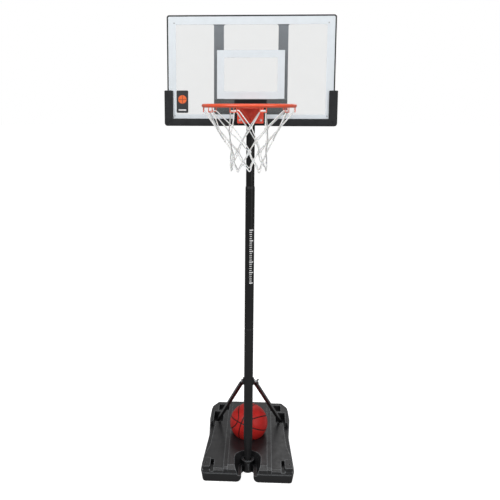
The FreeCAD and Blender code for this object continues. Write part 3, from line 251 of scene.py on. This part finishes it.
def surface(name, colour, roughness, spread=0.12, roughness_spread=0.08, blotch=14,
            grain=900, grain_depth=0.00012, grain_strength=0.25, coat=0.0, specular=0.5,
            edge=None, edge_highlight_width=0.0016, recess_shade=None, reaches=(0.05,), top_shading_colour=None):
    """A finish whose colour and gloss vary softly, with a fine grain.

    An edge colour paints highlights on the convex edges, a recess colour paints shade into the hollows and a
    top colour paints a shading gradient from the foot of the part to its top.
    """
    bsdf, tree = principled(name, colour, roughness)
    bsdf.inputs["Specular IOR Level"].default_value = specular
    bsdf.inputs["Coat Weight"].default_value = coat
    bsdf.inputs["Coat Roughness"].default_value = 0.15
    cloud = noise(tree, blotch, 4)
    low = tuple(channel * (1 - spread) for channel in colour)
    high = tuple(min(1, channel * (1 + spread)) for channel in colour)
    tint = ramp(tree, cloud, low, high)
    # Painted shading: the top colour takes over from the foot of the part to its top.
    if top_shading_colour:
        tint = mix_colours(tree, height_mask(tree), tint, top_shading_colour)
    # Painted highlight: the edge colour lightens the convex edges.
    if edge:
        tint = mix_colours(tree, edge_highlight_mask(tree, edge_highlight_width), tint, edge)
    # Painted shade: the recess colour darkens hollows and corners by ambient occlusion.
    if recess_shade:
        for reach in reaches:
            tint = mix_colours(tree, painted_shade_mask(tree, reach), recess_shade, tint)
    tree.links.new(tint, bsdf.inputs["Base Color"])
    gloss = ramp(tree, noise(tree, blotch * 5, 5), grey(roughness - roughness_spread),
                 grey(roughness + roughness_spread))
    tree.links.new(gloss, bsdf.inputs["Roughness"])
    bump(tree, bsdf, [(noise(tree, grain, 2), grain_strength, grain_depth)])


def steel(name, colour=(0.62, 0.63, 0.64), roughness=0.28):
    """Zinc-plated steel with fine turning marks."""
    bsdf, tree = principled(name, colour, roughness)
    bsdf.inputs["Metallic"].default_value = 1.0
    marks = noise(tree, 500, 3, squash=(1, 1, 9))
    dull = tuple(0.8 * channel for channel in colour)
    tree.links.new(ramp(tree, noise(tree, 160, 4), dull, colour), bsdf.inputs["Base Color"])
    gloss = ramp(tree, marks, grey(roughness - 0.08), grey(roughness + 0.14))
    tree.links.new(gloss, bsdf.inputs["Roughness"])
    bump(tree, bsdf, [(marks, 0.12, 0.0001)])


def clear_sheet():
    """Clear polycarbonate with a faint haze."""
    bsdf, tree = principled("clear_sheet", (0.41, 0.43, 0.43), 0.08)
    bsdf.inputs["IOR"].default_value = 1.5
    bsdf.inputs["Alpha"].default_value = 0.17
    haze = noise(tree, 30, 5)
    tree.links.new(ramp(tree, haze, grey(0.05), grey(0.14)), bsdf.inputs["Roughness"])
    tree.links.new(ramp(tree, haze, (0.37, 0.39, 0.39), (0.44, 0.46, 0.46)), bsdf.inputs["Base Color"])


def net_cord():
    """White braided cord: a fine slanted weave with a soft sheen."""
    bsdf, tree = principled("net_cord", (0.86, 0.86, 0.85), 0.85)
    bsdf.inputs["Sheen Weight"].default_value = 0.3
    bsdf.inputs["Subsurface Weight"].default_value = 0.05
    coordinates = tree.nodes.new("ShaderNodeTexCoord")
    wave = tree.nodes.new("ShaderNodeTexWave")
    wave.wave_type = "BANDS"
    wave.bands_direction = "DIAGONAL"
    wave.inputs["Scale"].default_value = 260
    wave.inputs["Distortion"].default_value = 1.5
    tree.links.new(coordinates.outputs["Object"], wave.inputs["Vector"])
    tint = ramp(tree, wave.outputs["Fac"], (0.70, 0.70, 0.69), (0.90, 0.90, 0.89), 0.1, 0.8)
    tree.links.new(tint, bsdf.inputs["Base Color"])
    bump(tree, bsdf, [(wave.outputs["Fac"], 0.5, 0.0004), (noise(tree, 1500, 3), 0.3, 0.0002)])


def ball_rubber():
    """Red pebbled rubber whose grooves, marked on the mesh, are near black."""
    bsdf, tree = principled("ball_rubber", (0.5, 0.03, 0.025), 0.45)
    bsdf.inputs["Specular IOR Level"].default_value = 0.22
    seam = tree.nodes.new("ShaderNodeAttribute")
    seam.attribute_name = "seam"
    red = ramp(tree, noise(tree, 25, 4), (0.44, 0.014, 0.012), (0.58, 0.024, 0.020))
    dark = tree.nodes.new("ShaderNodeMapRange")
    dark.inputs["From Max"].default_value = 0.55
    tree.links.new(seam.outputs["Fac"], dark.inputs["Value"])
    tint = mix_colours(tree, dark.outputs["Result"], red, (0.022, 0.006, 0.006))
    tree.links.new(tint, bsdf.inputs["Base Color"])
    coordinates = tree.nodes.new("ShaderNodeTexCoord")
    pebbles = tree.nodes.new("ShaderNodeTexVoronoi")
    pebbles.feature = "SMOOTH_F1"
    pebbles.inputs["Scale"].default_value = 520
    tree.links.new(coordinates.outputs["Object"], pebbles.inputs["Vector"])
    tree.links.new(ramp(tree, pebbles.outputs["Distance"], grey(0.38), grey(0.6)), bsdf.inputs["Roughness"])
    bump(tree, bsdf, [(pebbles.outputs["Distance"], 0.35, -0.0004)])


def foam_skin():
    """Dark moulded foam with a fine pitted skin."""
    bsdf, tree = principled("foam_skin", (0.014, 0.015, 0.016), 0.72)
    bsdf.inputs["Specular IOR Level"].default_value = 0.3
    bsdf.inputs["Sheen Weight"].default_value = 0.04
    coordinates = tree.nodes.new("ShaderNodeTexCoord")
    pits = tree.nodes.new("ShaderNodeTexVoronoi")
    pits.inputs["Scale"].default_value = 700
    tree.links.new(coordinates.outputs["Object"], pits.inputs["Vector"])
    tint = ramp(tree, noise(tree, 40, 4), (0.011, 0.012, 0.013), (0.017, 0.018, 0.020))
    tree.links.new(tint, bsdf.inputs["Base Color"])
    tree.links.new(ramp(tree, noise(tree, 120, 4), grey(0.62), grey(0.8)), bsdf.inputs["Roughness"])
    bump(tree, bsdf, [(pits.outputs["Distance"], 0.35, 0.0003), (noise(tree, 260, 3), 0.2, 0.0005)])


def printed(name, colour):
    """Screen-printed ink: nearly even, with a faint mottle."""
    bsdf, tree = principled(name, colour, 0.45)
    low = tuple(channel * 0.95 for channel in colour)
    tree.links.new(ramp(tree, noise(tree, 45, 5), low, colour), bsdf.inputs["Base Color"])
    tree.links.new(ramp(tree, noise(tree, 300, 3), grey(0.35), grey(0.5)), bsdf.inputs["Roughness"])


def make_materials():
    """Every finish used on the hoop. Edge colours are painted highlights, recess colours are painted shade
    and top colours are painted shading from foot to top.
    """
    # The tank's pale edge colour is a painted highlight and its recess colour is painted shade in the funnel,
    # pockets and steps.
    surface("tank_plastic", (0.012, 0.012, 0.013), 0.40, blotch=9, grain=700, grain_depth=0.0003,
            grain_strength=0.35, edge=(0.20, 0.21, 0.22), edge_highlight_width=0.005,
            recess_shade=(0.005, 0.005, 0.006), reaches=(0.05, 0.012))
    # Painted highlight: the pole paint's edge colour lightens its convex edges.
    surface("pole_paint", (0.016, 0.016, 0.017), 0.42, grain=420, grain_strength=0.15,
            edge=(0.03, 0.03, 0.031), specular=0.25)
    surface("brace_paint", (0.014, 0.014, 0.015), 0.38, grain=420, grain_strength=0.1)
    # Painted shade: the middle pole darkens towards its top, standing for the floor's light on its lower
    # part.
    surface("middle_pole_shaded_paint", (0.015, 0.015, 0.016), 0.42, grain=420, grain_strength=0.15, specular=0.25,
            top_shading_colour=(0.005, 0.005, 0.005))
    # Painted shade: the upper pole is the pole paint made darker, carrying on the middle pole's painted
    # shade.
    surface("upper_pole_shaded_paint", (0.005, 0.005, 0.005), 0.42, grain=420, grain_strength=0.15, specular=0.25)
    surface("black_plastic", (0.013, 0.013, 0.014), 0.5, grain=900, specular=0.3)
    surface("trim_plastic", (0.018, 0.019, 0.020), 0.5, grain=900, specular=0.3)
    # Painted light: the frame lightens towards its top, so its lower part carries painted shade; its edge
    # colour is a painted highlight.
    surface("frame_plastic", (0.055, 0.060, 0.066), 0.55, grain=800, grain_depth=0.0002,
            edge=(0.16, 0.17, 0.19), specular=0.3, top_shading_colour=(0.20, 0.225, 0.255))
    # Painted highlights: the edge colours of the paints below lighten their convex edges.
    surface("grey_paint", (0.040, 0.041, 0.043), 0.42, grain=420, edge=(0.12, 0.13, 0.14), specular=0.3)
    surface("plate_paint", (0.009, 0.009, 0.010), 0.4, grain=420, edge=(0.03, 0.03, 0.03), specular=0.25)
    surface("rim_paint", (0.78, 0.085, 0.028), 0.34, grain=380, grain_strength=0.12, coat=0.3,
            edge=(0.85, 0.16, 0.07), spread=0.07)
    surface("plate_red", (0.82, 0.080, 0.045), 0.36, grain=380, grain_strength=0.12, coat=0.2,
            edge=(0.88, 0.15, 0.08), spread=0.07)
    surface("gasket_rubber", (0.02, 0.02, 0.02), 0.8)
    steel("bright_steel")
    steel("spring_steel", (0.5, 0.5, 0.51), 0.24)
    steel("zinc_bolt", (0.92, 0.88, 0.86), 0.5)
    clear_sheet()
    net_cord()
    ball_rubber()
    foam_skin()
    printed("white_ink", (0.67, 0.715, 0.75))
    printed("bright_ink", (0.85, 0.85, 0.85))
    printed("orange_ink", (0.80, 0.14, 0.03))
    printed("dark_ink", (0.025, 0.026, 0.028))


FINISHES = {
    "tank_plastic": ["base_tank"],
    "pole_paint": ["lower_pole", "lock_boss"],
    "brace_paint": ["brace_left", "brace_right"],
    "middle_pole_shaded_paint": ["mid_pole"],
    "upper_pole_shaded_paint": ["upper_pole"],
    "black_plastic": ["pole_guide_bush", "brace_saddle_left", "brace_saddle_right", "pole_top_cap",
                      "lock_knob", "fill_cap"],
    "trim_plastic": ["edge_trim"],
    "gasket_rubber": ["cap_gasket"],
    "bright_steel": ["brace_pole_bolt", "brace_foot_screws", "brace_wing_nut", "lock_screw",
                     "bracket_bolts", "bracket_nuts", "hinge_pin", "mount_nuts", "panel_screws"],
    "zinc_bolt": ["mount_bolts"],
    "spring_steel": ["breakaway_spring"],
    "clear_sheet": ["backboard_panel"],
    "frame_plastic": ["rear_frame"],
    "grey_paint": ["cross_plate", "pole_bracket"],
    "plate_paint": ["rim_back_plate"],
    "plate_red": ["rim_mount_plate", "rim_hinge_plate", "rim_strut_left", "rim_strut_right",
                  "spring_bolt", "spring_nut"],
    "rim_paint": ["rim_ring", "net_hooks"],
}


def finish_cad_nodes():
    """Puts a finish in every material slot of the CAD nodes."""
    for finish, nodes in FINISHES.items():
        for node in nodes:
            for slot in NODES[node].material_slots:
                slot.material = LIBRARY[finish]


# ---------------------------------------------------------------- mesh helpers

def new_piece(name, mesh, material):
    """An object in the scene with one material."""
    piece = bpy.data.objects.new(name, mesh)
    mesh.materials.append(LIBRARY[material])
    bpy.context.scene.collection.objects.link(piece)
    return piece


def build(name, vertices, faces, material, smooth=True):
    """A piece made from vertices and faces."""
    mesh = bpy.data.meshes.new(name)
    mesh.from_pydata([tuple(vertex) for vertex in vertices], [], faces)
    mesh.validate()
    piece = new_piece(name, mesh, material)
    if smooth:
        mesh.shade_smooth()
    return piece


def skin_rings(rings, closed_ends=True):
    """Vertices and faces of a tube through rings with the same number of points."""
    count = len(rings[0])
    vertices = [point for ring in rings for point in ring]
    faces = []
    for index in range(len(rings) - 1):
        for step in range(count):
            following = (step + 1) % count
            low = index * count
            faces.append((low + step, low + following, low + count + following, low + count + step))
    if closed_ends:
        faces.append(tuple(reversed(range(count))))
        faces.append(tuple(range(len(vertices) - count, len(vertices))))
    return vertices, faces


def arc_points(centre, radius, start, end, steps):
    """Points on an arc in the plane, from one angle to another in degrees."""
    return [(centre[0] + radius * math.cos(math.radians(start + (end - start) * step / steps)),
             centre[1] + radius * math.sin(math.radians(start + (end - start) * step / steps)))
            for step in range(steps + 1)]


def rounded_rectangle(left, right, bottom, top, radius, steps=6):
    """Corner arcs of a rectangle, anticlockwise from the lower right."""
    return (arc_points((right - radius, bottom + radius), radius, -90, 0, steps)
            + arc_points((right - radius, top - radius), radius, 0, 90, steps)
            + arc_points((left + radius, top - radius), radius, 90, 180, steps)
            + arc_points((left + radius, bottom + radius), radius, 180, 270, steps))


def flat_ring(name, outer, inner, front, back, material):
    """A flat frame in the board's plane between an outer and an inner outline of equal length."""
    rings = [[Vector((x, depth, z)) for x, z in outline]
             for outline, depth in ((outer, front), (inner, front), (inner, back), (outer, back))]
    vertices, faces = skin_rings(rings, closed_ends=False)
    count = len(outer)
    for step in range(count):
        following = (step + 1) % count
        faces.append((3 * count + step, 3 * count + following, following, step))
    return build(name, vertices, faces, material, smooth=False)


def flat_patch(name, outline, front, back, material):
    """A thin flat shape in the board's plane."""
    rings = [[Vector((x, depth, z)) for x, z in outline] for depth in (front, back)]
    vertices, faces = skin_rings(rings)
    return build(name, vertices, faces, material, smooth=False)


# ---------------------------------------------------------------- prints on the board

INK = 0.25 * MM
INK_GAP = 0.05 * MM


def make_board_prints():
    """The pale border and the target square printed on the front of the sheet."""
    front = BOARD_LOW.y - INK_GAP - INK
    back = BOARD_LOW.y - INK_GAP
    middle = (BOARD_LOW.x + BOARD_HIGH.x) / 2
    margin = 3.8 * MM
    half = (BOARD_HIGH.x - BOARD_LOW.x) / 2 - margin
    border_side = 31 * MM
    border_bottom = 33.5 * MM
    border_top = 35 * MM
    border = flat_ring(
        "border_print",
        rounded_rectangle(middle - half, middle + half,
                          BOARD_LOW.z + margin, BOARD_HIGH.z - margin, 6 * MM),
        rounded_rectangle(middle - half + border_side, middle + half - border_side,
                          BOARD_LOW.z + border_bottom, BOARD_HIGH.z - border_top, 3 * MM),
        front, back, "white_ink")
    outer_half = 136.5 * MM
    outer_low = 1.669
    outer_high = 1.8615
    band = 29 * MM
    square = flat_ring(
        "target_print",
        rounded_rectangle(-outer_half, outer_half, outer_low, outer_high, 2 * MM),
        rounded_rectangle(-outer_half + band, outer_half - band, outer_low + band, outer_high - band, 2 * MM),
        front, back, "white_ink")
    for piece in (border, square):
        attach(piece, "head")


def make_emblem():
    """A plain badge: a dark rounded panel with an orange ball on it."""
    left, right = -0.302, -0.254
    low, high = 1.612, 1.702
    front = BOARD_LOW.y - INK_GAP
    panel = flat_patch("badge_panel", rounded_rectangle(left, right, low, high, 5 * MM),
                       front - INK, front, "dark_ink")
    centre = ((left + right) / 2, low + 0.6 * (high - low))
    ball_radius = 17 * MM
    ball_sides = 48
    last_turn = 360 - 360 / ball_sides
    ball = flat_patch("badge_ball", arc_points(centre, ball_radius, 0, last_turn, ball_sides - 1),
                      front - 2 * INK, front - INK, "orange_ink")
    seam_reach = ball_radius - 1 * MM
    seam_half_width = 0.7 * MM
    seams = []
    for index, slant in enumerate((0, 90)):
        along = Vector((math.cos(math.radians(slant)), math.sin(math.radians(slant))))
        across = Vector((-along.y, along.x))
        corners = [Vector(centre) + along * end * seam_reach + across * edge * seam_half_width
                   for end, edge in ((-1, -1), (1, -1), (1, 1), (-1, 1))]
        seams.append(flat_patch(f"badge_seam_{index}", [tuple(corner) for corner in corners],
                                front - 3 * INK, front - 2 * INK, "dark_ink"))
    stripe_outline = rounded_rectangle(left + 8 * MM, right - 8 * MM,
                                       low + 9 * MM, low + 14 * MM, 2 * MM)
    stripe = flat_patch("badge_stripe", stripe_outline, front - 2 * INK, front - INK, "bright_ink")
    for piece in (panel, ball, stripe, *seams):
        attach(piece, "head")


# ---------------------------------------------------------------- marks on the pole

def make_pole_scale():
    """A plain scale of white ticks on the front of the middle length, towards +X."""
    low, high = 0.885, 1.118
    pitch = 9.3 * MM
    steps = 8
    vertices, faces = [], []
    for index in range(int((high - low) / pitch) + 1):
        long_mark = index % 5 == 0
        half_span = 24 if long_mark else 15
        half_height = (2.4 if long_mark else 1.5) * MM
        middle_turn = -66 if long_mark else -75
        height = low + index * pitch
        start = len(vertices)
        for reach in (POLE_HIGH.x + 0.05 * MM, POLE_HIGH.x + 0.25 * MM):
            for edge in (-half_height, half_height):
                arc = arc_points((0, 0), reach, middle_turn - half_span, middle_turn + half_span, steps)
                vertices += [Vector((x, y, height + edge)) for x, y in arc]
        for step in range(steps + 1):
            inner_low, inner_high, outer_low, outer_high = (
                start + row * (steps + 1) + step for row in range(4))
            end = (inner_low, outer_low, outer_high, inner_high)
            if step == 0:
                faces.append(end)
            if step == steps:
                faces.append(tuple(reversed(end)))
                continue
            faces.append((inner_low, inner_high, inner_high + 1, inner_low + 1))
            faces.append((outer_low, outer_low + 1, outer_high + 1, outer_high))
            faces.append((inner_low, inner_low + 1, outer_low + 1, outer_low))
            faces.append((inner_high, outer_high, outer_high + 1, inner_high + 1))
    scale = build("pole_scale", vertices, faces, "bright_ink", smooth=False)
    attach(scale, "base")


# ---------------------------------------------------------------- ball

BALL_UP = Vector((0.33, 0.18, 0.93)).normalized()
BALL_SIDE = Vector((0.87, -0.46, -0.20))
LOOP_WAIST = 0.24
LOOP_FLARE = 1.05


def seam_depth(point, half_width):
    """How deep in a seam a point of the unit ball lies, from 0 outside to 1 in the middle."""
    side, front, up = point
    loop = abs(side) - LOOP_WAIST - LOOP_FLARE * up * up
    slope = math.sqrt(1 + (2 * LOOP_FLARE * up) ** 2)
    distance = min(abs(side), abs(up), abs(loop) / slope)
    inside = max(0.0, 1 - distance / half_width)
    return inside * inside * (3 - 2 * inside)


def make_ball():
    """Moulded rubber ball: a sphere with grooves along two great circles and two loops."""
    low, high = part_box("basketball")
    centre = (low + high) / 2
    radius = (high.x - low.x) / 2
    side = (BALL_SIDE - BALL_SIDE.dot(BALL_UP) * BALL_UP).normalized()
    front = side.cross(BALL_UP)
    frame_turn = Matrix((side, front, BALL_UP)).transposed()
    half_width = 3.7 * MM / radius
    groove = 1.3 * MM
    shape = bmesh.new()
    bmesh.ops.create_cube(shape, size=2)
    bmesh.ops.subdivide_edges(shape, edges=shape.edges[:], cuts=95, use_grid_fill=True)
    marks = []
    for vertex in shape.verts:
        direction = Vector(math.tan(coordinate * math.pi / 4) for coordinate in vertex.co).normalized()
        depth = seam_depth(direction, half_width)
        marks.append(depth)
        vertex.co = centre + frame_turn @ (direction * (radius - groove * depth))
    mesh = bpy.data.meshes.new("ball")
    shape.to_mesh(mesh)
    shape.free()
    attribute = mesh.attributes.new("seam", "FLOAT", "POINT")
    attribute.data.foreach_set("value", marks)
    ball = new_piece("ball", mesh, "ball_rubber")
    mesh.shade_smooth()
    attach(ball, "ball")
    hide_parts("basketball")


# ---------------------------------------------------------------- corner pads

PAD_CORNER = 12 * MM
PAD_END = 3 * MM
PAD_LIP = 30 * MM
PAD_SIDE_EXTRA = 5 * MM


def pad_section():
    """Section of a pad's foam channel as (depth towards the rear, height above the pad's outer face).

    The channel wraps the board's edge: front lip, outer wall and rear lip, all softly crowned.
    """
    low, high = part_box("pad_right")
    board_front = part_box("edge_trim")[0].y - 0.3 * MM
    board_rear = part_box("rear_frame")[1].y + 0.3 * MM
    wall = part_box("edge_trim")[0].z - 0.3 * MM - low.z
    crown = 0.6 * MM
    soft = 3.4 * MM
    points = arc_points((low.y + soft, soft), soft, 180, 270, 5)
    points += [(low.y + (high.y - low.y) * step / 6, 0) for step in range(2, 5)]
    points += arc_points((high.y - soft, soft), soft, 270, 360, 5)
    points += [(high.y, PAD_LIP / 2)]
    points += arc_points((high.y - 2 * MM, PAD_LIP - 2 * MM), 2 * MM, 0, 90, 4)
    points += arc_points((board_rear + 1.6 * MM, PAD_LIP - 1.6 * MM), 1.6 * MM, 90, 180, 4)
    points += [(board_rear, wall), (board_front, wall)]
    points += arc_points((board_front - 2 * MM, PAD_LIP - 2 * MM), 2 * MM, 0, 90, 4)
    points += arc_points((low.y + soft, PAD_LIP - soft), soft, 90, 180, 5)
    points += [(low.y - crown * bulge, PAD_LIP * share)
               for share, bulge in ((0.66, 0.8), (0.5, 1), (0.34, 0.8))]
    return points


def pad_stations(inner, outer, low, high):
    """Places along a pad: (x, z, turn in degrees, drawing in of the end, extra lip height)."""
    end_steps, bottom_steps, corner_steps, side_steps = 4, 24, 8, 12
    stations = []
    for step in range(end_steps + 1):
        reach = step / end_steps
        drawn = PAD_END * (1 - math.sqrt(1 - (1 - reach) ** 2))
        stations.append((inner + PAD_END * reach, low, 0, drawn, 0))
    straight = outer - PAD_CORNER - inner - PAD_END
    for step in range(1, bottom_steps):
        stations.append((inner + PAD_END + straight * step / bottom_steps, low, 0, 0, 0))
    for step in range(corner_steps + 1):
        angle = 90 * step / corner_steps
        turn = math.radians(angle)
        stations.append((outer - PAD_CORNER * (1 - math.sin(turn)), low + PAD_CORNER * (1 - math.cos(turn)),
                         angle, 0, PAD_SIDE_EXTRA * step / corner_steps))
    straight = high - PAD_END - low - PAD_CORNER
    for step in range(1, side_steps):
        stations.append((outer, low + PAD_CORNER + straight * step / side_steps, 90, 0, PAD_SIDE_EXTRA))
    for step in range(end_steps + 1):
        reach = step / end_steps
        drawn = PAD_END * (1 - math.sqrt(1 - reach ** 2))
        stations.append((outer, high - PAD_END * (1 - reach), 90, drawn, PAD_SIDE_EXTRA))
    return stations


def make_pad(side, node):
    """L-shaped foam channel, swept from its inner end round the board's corner and up the side."""
    low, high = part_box(node)
    section = pad_section()
    wall_top = PAD_CORNER + 0.5 * MM
    middle_depth = sum(depth for depth, _ in section) / len(section)
    half_depth = (high.y - low.y) / 2
    inner, outer = sorted((abs(low.x), abs(high.x)))
    rings = []
    for x, z, angle, drawn, extra in pad_stations(inner, outer, low.z, high.z):
        turn = math.radians(angle)
        inward = Vector((-math.sin(turn), 0, math.cos(turn)))
        middle_rise = (PAD_LIP + extra) / 2
        ring = []
        for depth, rise in section:
            if rise > wall_top:
                rise += extra
            depth = middle_depth + (depth - middle_depth) * (1 - drawn / half_depth)
            rise = middle_rise + (rise - middle_rise) * (1 - 2 * drawn / PAD_LIP)
            point = Vector((x, 0, z)) + inward * rise
            ring.append(Vector((side * point.x, depth, point.z)))
        rings.append(ring)
    vertices, faces = skin_rings(rings)
    if side < 0:
        faces = [tuple(reversed(face)) for face in faces]
    pad = build(f"foam_{node}", vertices, faces, "foam_skin")
    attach(pad, "head")
    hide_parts(node)


# ---------------------------------------------------------------- net

HOOK_COUNT = 10
FIRST_HOOK = -72
HALF_MESH = 180 / HOOK_COUNT
HOOK_WIRE = 1.5 * MM
CORD_RADIUS = 2.2 * MM
# Height and radius of four rows of knots, then of the hem's bends
NET_ROWS = [(1.5560, 0.1160), (1.5120, 0.0860), (1.4700, 0.0700), (1.4350, 0.0660), (1.4020, 0.0700)]


def net_point(row, step, turn_off, reach_off, rise_off):
    """A knot's place: step counts half meshes round the ring, from the first hook."""
    height, radius = NET_ROWS[row]
    turn = math.radians(HALF_MESH * step + FIRST_HOOK + turn_off)
    reach = radius * (1 + reach_off)
    return Vector((RIM_CENTRE.x + reach * math.cos(turn), RIM_CENTRE.y + reach * math.sin(turn),
                   height + rise_off))


def smooth_path(points, steps=7):
    """A smooth line through a few points."""
    smooth = []
    for index in range(len(points) - 1):
        before = points[max(index - 1, 0)]
        start, end = points[index], points[index + 1]
        after = points[min(index + 2, len(points) - 1)]
        for step in range(steps):
            t = step / steps
            smooth.append(0.5 * ((2 * start) + (end - before) * t
                                 + (2 * before - 5 * start + 4 * end - after) * t * t
                                 + (3 * start - before - 3 * end + after) * t ** 3))
    smooth.append(points[-1])
    return smooth


def tube(path, radius, sides, closed):
    """Rings of a tube along a path, its section carried without sudden turns."""
    rings = []
    count = len(path)
    normal = None
    for index, point in enumerate(path):
        ahead = path[(index + 1) % count] if closed or index < count - 1 else path[index]
        behind = path[index - 1] if closed or index > 0 else path[index]
        along = (ahead - behind).normalized()
        if normal is None:
            helper = Vector((0, 0, 1)) if abs(along.z) < 0.9 else Vector((1, 0, 0))
            normal = along.cross(helper).normalized()
        normal = (normal - normal.dot(along) * along).normalized()
        across = along.cross(normal)
        rings.append([point + radius * (math.cos(a) * normal + math.sin(a) * across)
                      for a in (2 * math.pi * side / sides for side in range(sides))])
    return rings


class TubeSet:
    """Several tubes gathered into one mesh."""

    def __init__(self):
        self.vertices = []
        self.faces = []

    def add(self, path, radius, sides=8, closed=False):
        rings = tube(path, radius, sides, closed)
        if closed:
            vertices, faces = skin_rings(rings + [rings[0]], closed_ends=False)
            vertices = vertices[:-sides]
            faces = [tuple(index % len(vertices) for index in face) for face in faces]
        else:
            vertices, faces = skin_rings(rings)
        start = len(self.vertices)
        self.vertices += vertices
        self.faces += [tuple(index + start for index in face) for face in faces]


def outwards_from_net(point):
    """The level direction from the net's axis through a point."""
    return Vector((point.x - RIM_CENTRE.x, point.y - RIM_CENTRE.y, 0)).normalized()


def slack_cord(start, end, draw, slack):
    """A cord between two knots that wanders a little."""
    middle = (start + end) / 2
    out = outwards_from_net(middle)
    sag = draw.uniform(-1, 1) * slack
    drift = out.cross(Vector((0, 0, 1))) * draw.uniform(-1, 1) * slack
    return smooth_path([start, start.lerp(end, 0.3) + out * sag * 0.7 + drift * 0.5,
                        start.lerp(end, 0.7) + out * sag + drift, end])


def hook_cord(start, end, step):
    """The cord from one knot up over a hook and down to the next knot."""
    turn = math.radians(HALF_MESH * step + FIRST_HOOK)
    out = Vector((math.cos(turn), math.sin(turn), 0))
    across = Vector((-out.y, out.x, 0))
    bar_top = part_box("net_hooks")[0].z + 2 * HOOK_WIRE
    over = Vector((RIM_CENTRE.x, RIM_CENTRE.y, bar_top + CORD_RADIUS)) + out * RIM_RADIUS
    near = over - across * 10 * MM - out * 3 * MM - Vector((0, 0, 2 * MM))
    far = over + across * 10 * MM - out * 3 * MM - Vector((0, 0, 2 * MM))
    return smooth_path([start, start.lerp(near, 0.55), near, over, far, end.lerp(far, 0.55), end])


def hem_cord(start, bottom, end):
    """A loose bend of cord that hangs between two knots of the lowest row."""
    out = outwards_from_net(bottom)
    across = out.cross(Vector((0, 0, 1)))
    if (end - start).dot(across) < 0:
        across = -across
    lift = Vector((0, 0, 6 * MM))
    spread = across * 5 * MM
    swell = out * 2 * MM
    return smooth_path([start, start.lerp(bottom, 0.5) + swell, bottom - spread + lift, bottom,
                        bottom + spread + lift, end.lerp(bottom, 0.5) + swell, end])


def knot_path(place, draw):
    """A small threefold loop of cord that stands for an overhand knot."""
    out = outwards_from_net(place)
    across = out.cross(Vector((0, 0, 1)))
    size = 2.6 * MM
    steps = 28
    lean = draw.uniform(0, 2 * math.pi)
    path = []
    for step in range(steps):
        t = 2 * math.pi * step / steps
        reach = size * (1 + 0.45 * math.cos(3 * t))
        path.append(place + across * reach * math.cos(2 * t + lean)
                    + Vector((0, 0, 1)) * reach * math.sin(2 * t + lean)
                    + out * size * 0.5 * math.sin(3 * t))
    return path


def make_net():
    """Cord net: a cord over each hook, four rows of knots and a hem of loose bends."""
    draw = random.Random(11)
    around = 2 * HOOK_COUNT
    places = {}
    for row in range(len(NET_ROWS)):
        for step in range((row + 1) % 2, around, 2):
            places[row, step] = net_point(row, step, draw.uniform(-4, 4), draw.uniform(-0.06, 0.06),
                                          draw.uniform(-6, 6) * MM)
    cords = TubeSet()
    hem_row = len(NET_ROWS) - 1
    for step in range(0, around, 2):
        before, after = (step - 1) % around, (step + 1) % around
        cords.add(hook_cord(places[0, before], places[0, after], step), CORD_RADIUS)
    for step in range((hem_row + 1) % 2, around, 2):
        before, after = (step - 1) % around, (step + 1) % around
        start, end = places[hem_row - 1, before], places[hem_row - 1, after]
        cords.add(hem_cord(start, places[hem_row, step], end), CORD_RADIUS)
    for row in range(hem_row):
        for step in range((row + 1) % 2, around, 2):
            cords.add(knot_path(places[row, step], draw), CORD_RADIUS, closed=True)
            if row == hem_row - 1:
                continue
            slack = (2 + row) * MM
            for neighbour in ((step - 1) % around, (step + 1) % around):
                cord = slack_cord(places[row, step], places[row + 1, neighbour], draw, slack)
                cords.add(cord, CORD_RADIUS)
    net = build("cord_net", cords.vertices, cords.faces, "net_cord")
    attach(net, "rim")
    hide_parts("net")


make_camera()
make_studio()
make_materials()
finish_cad_nodes()
make_board_prints()
make_emblem()
make_pole_scale()
make_ball()
make_pad(1, "pad_right")
make_pad(-1, "pad_left")
make_net()
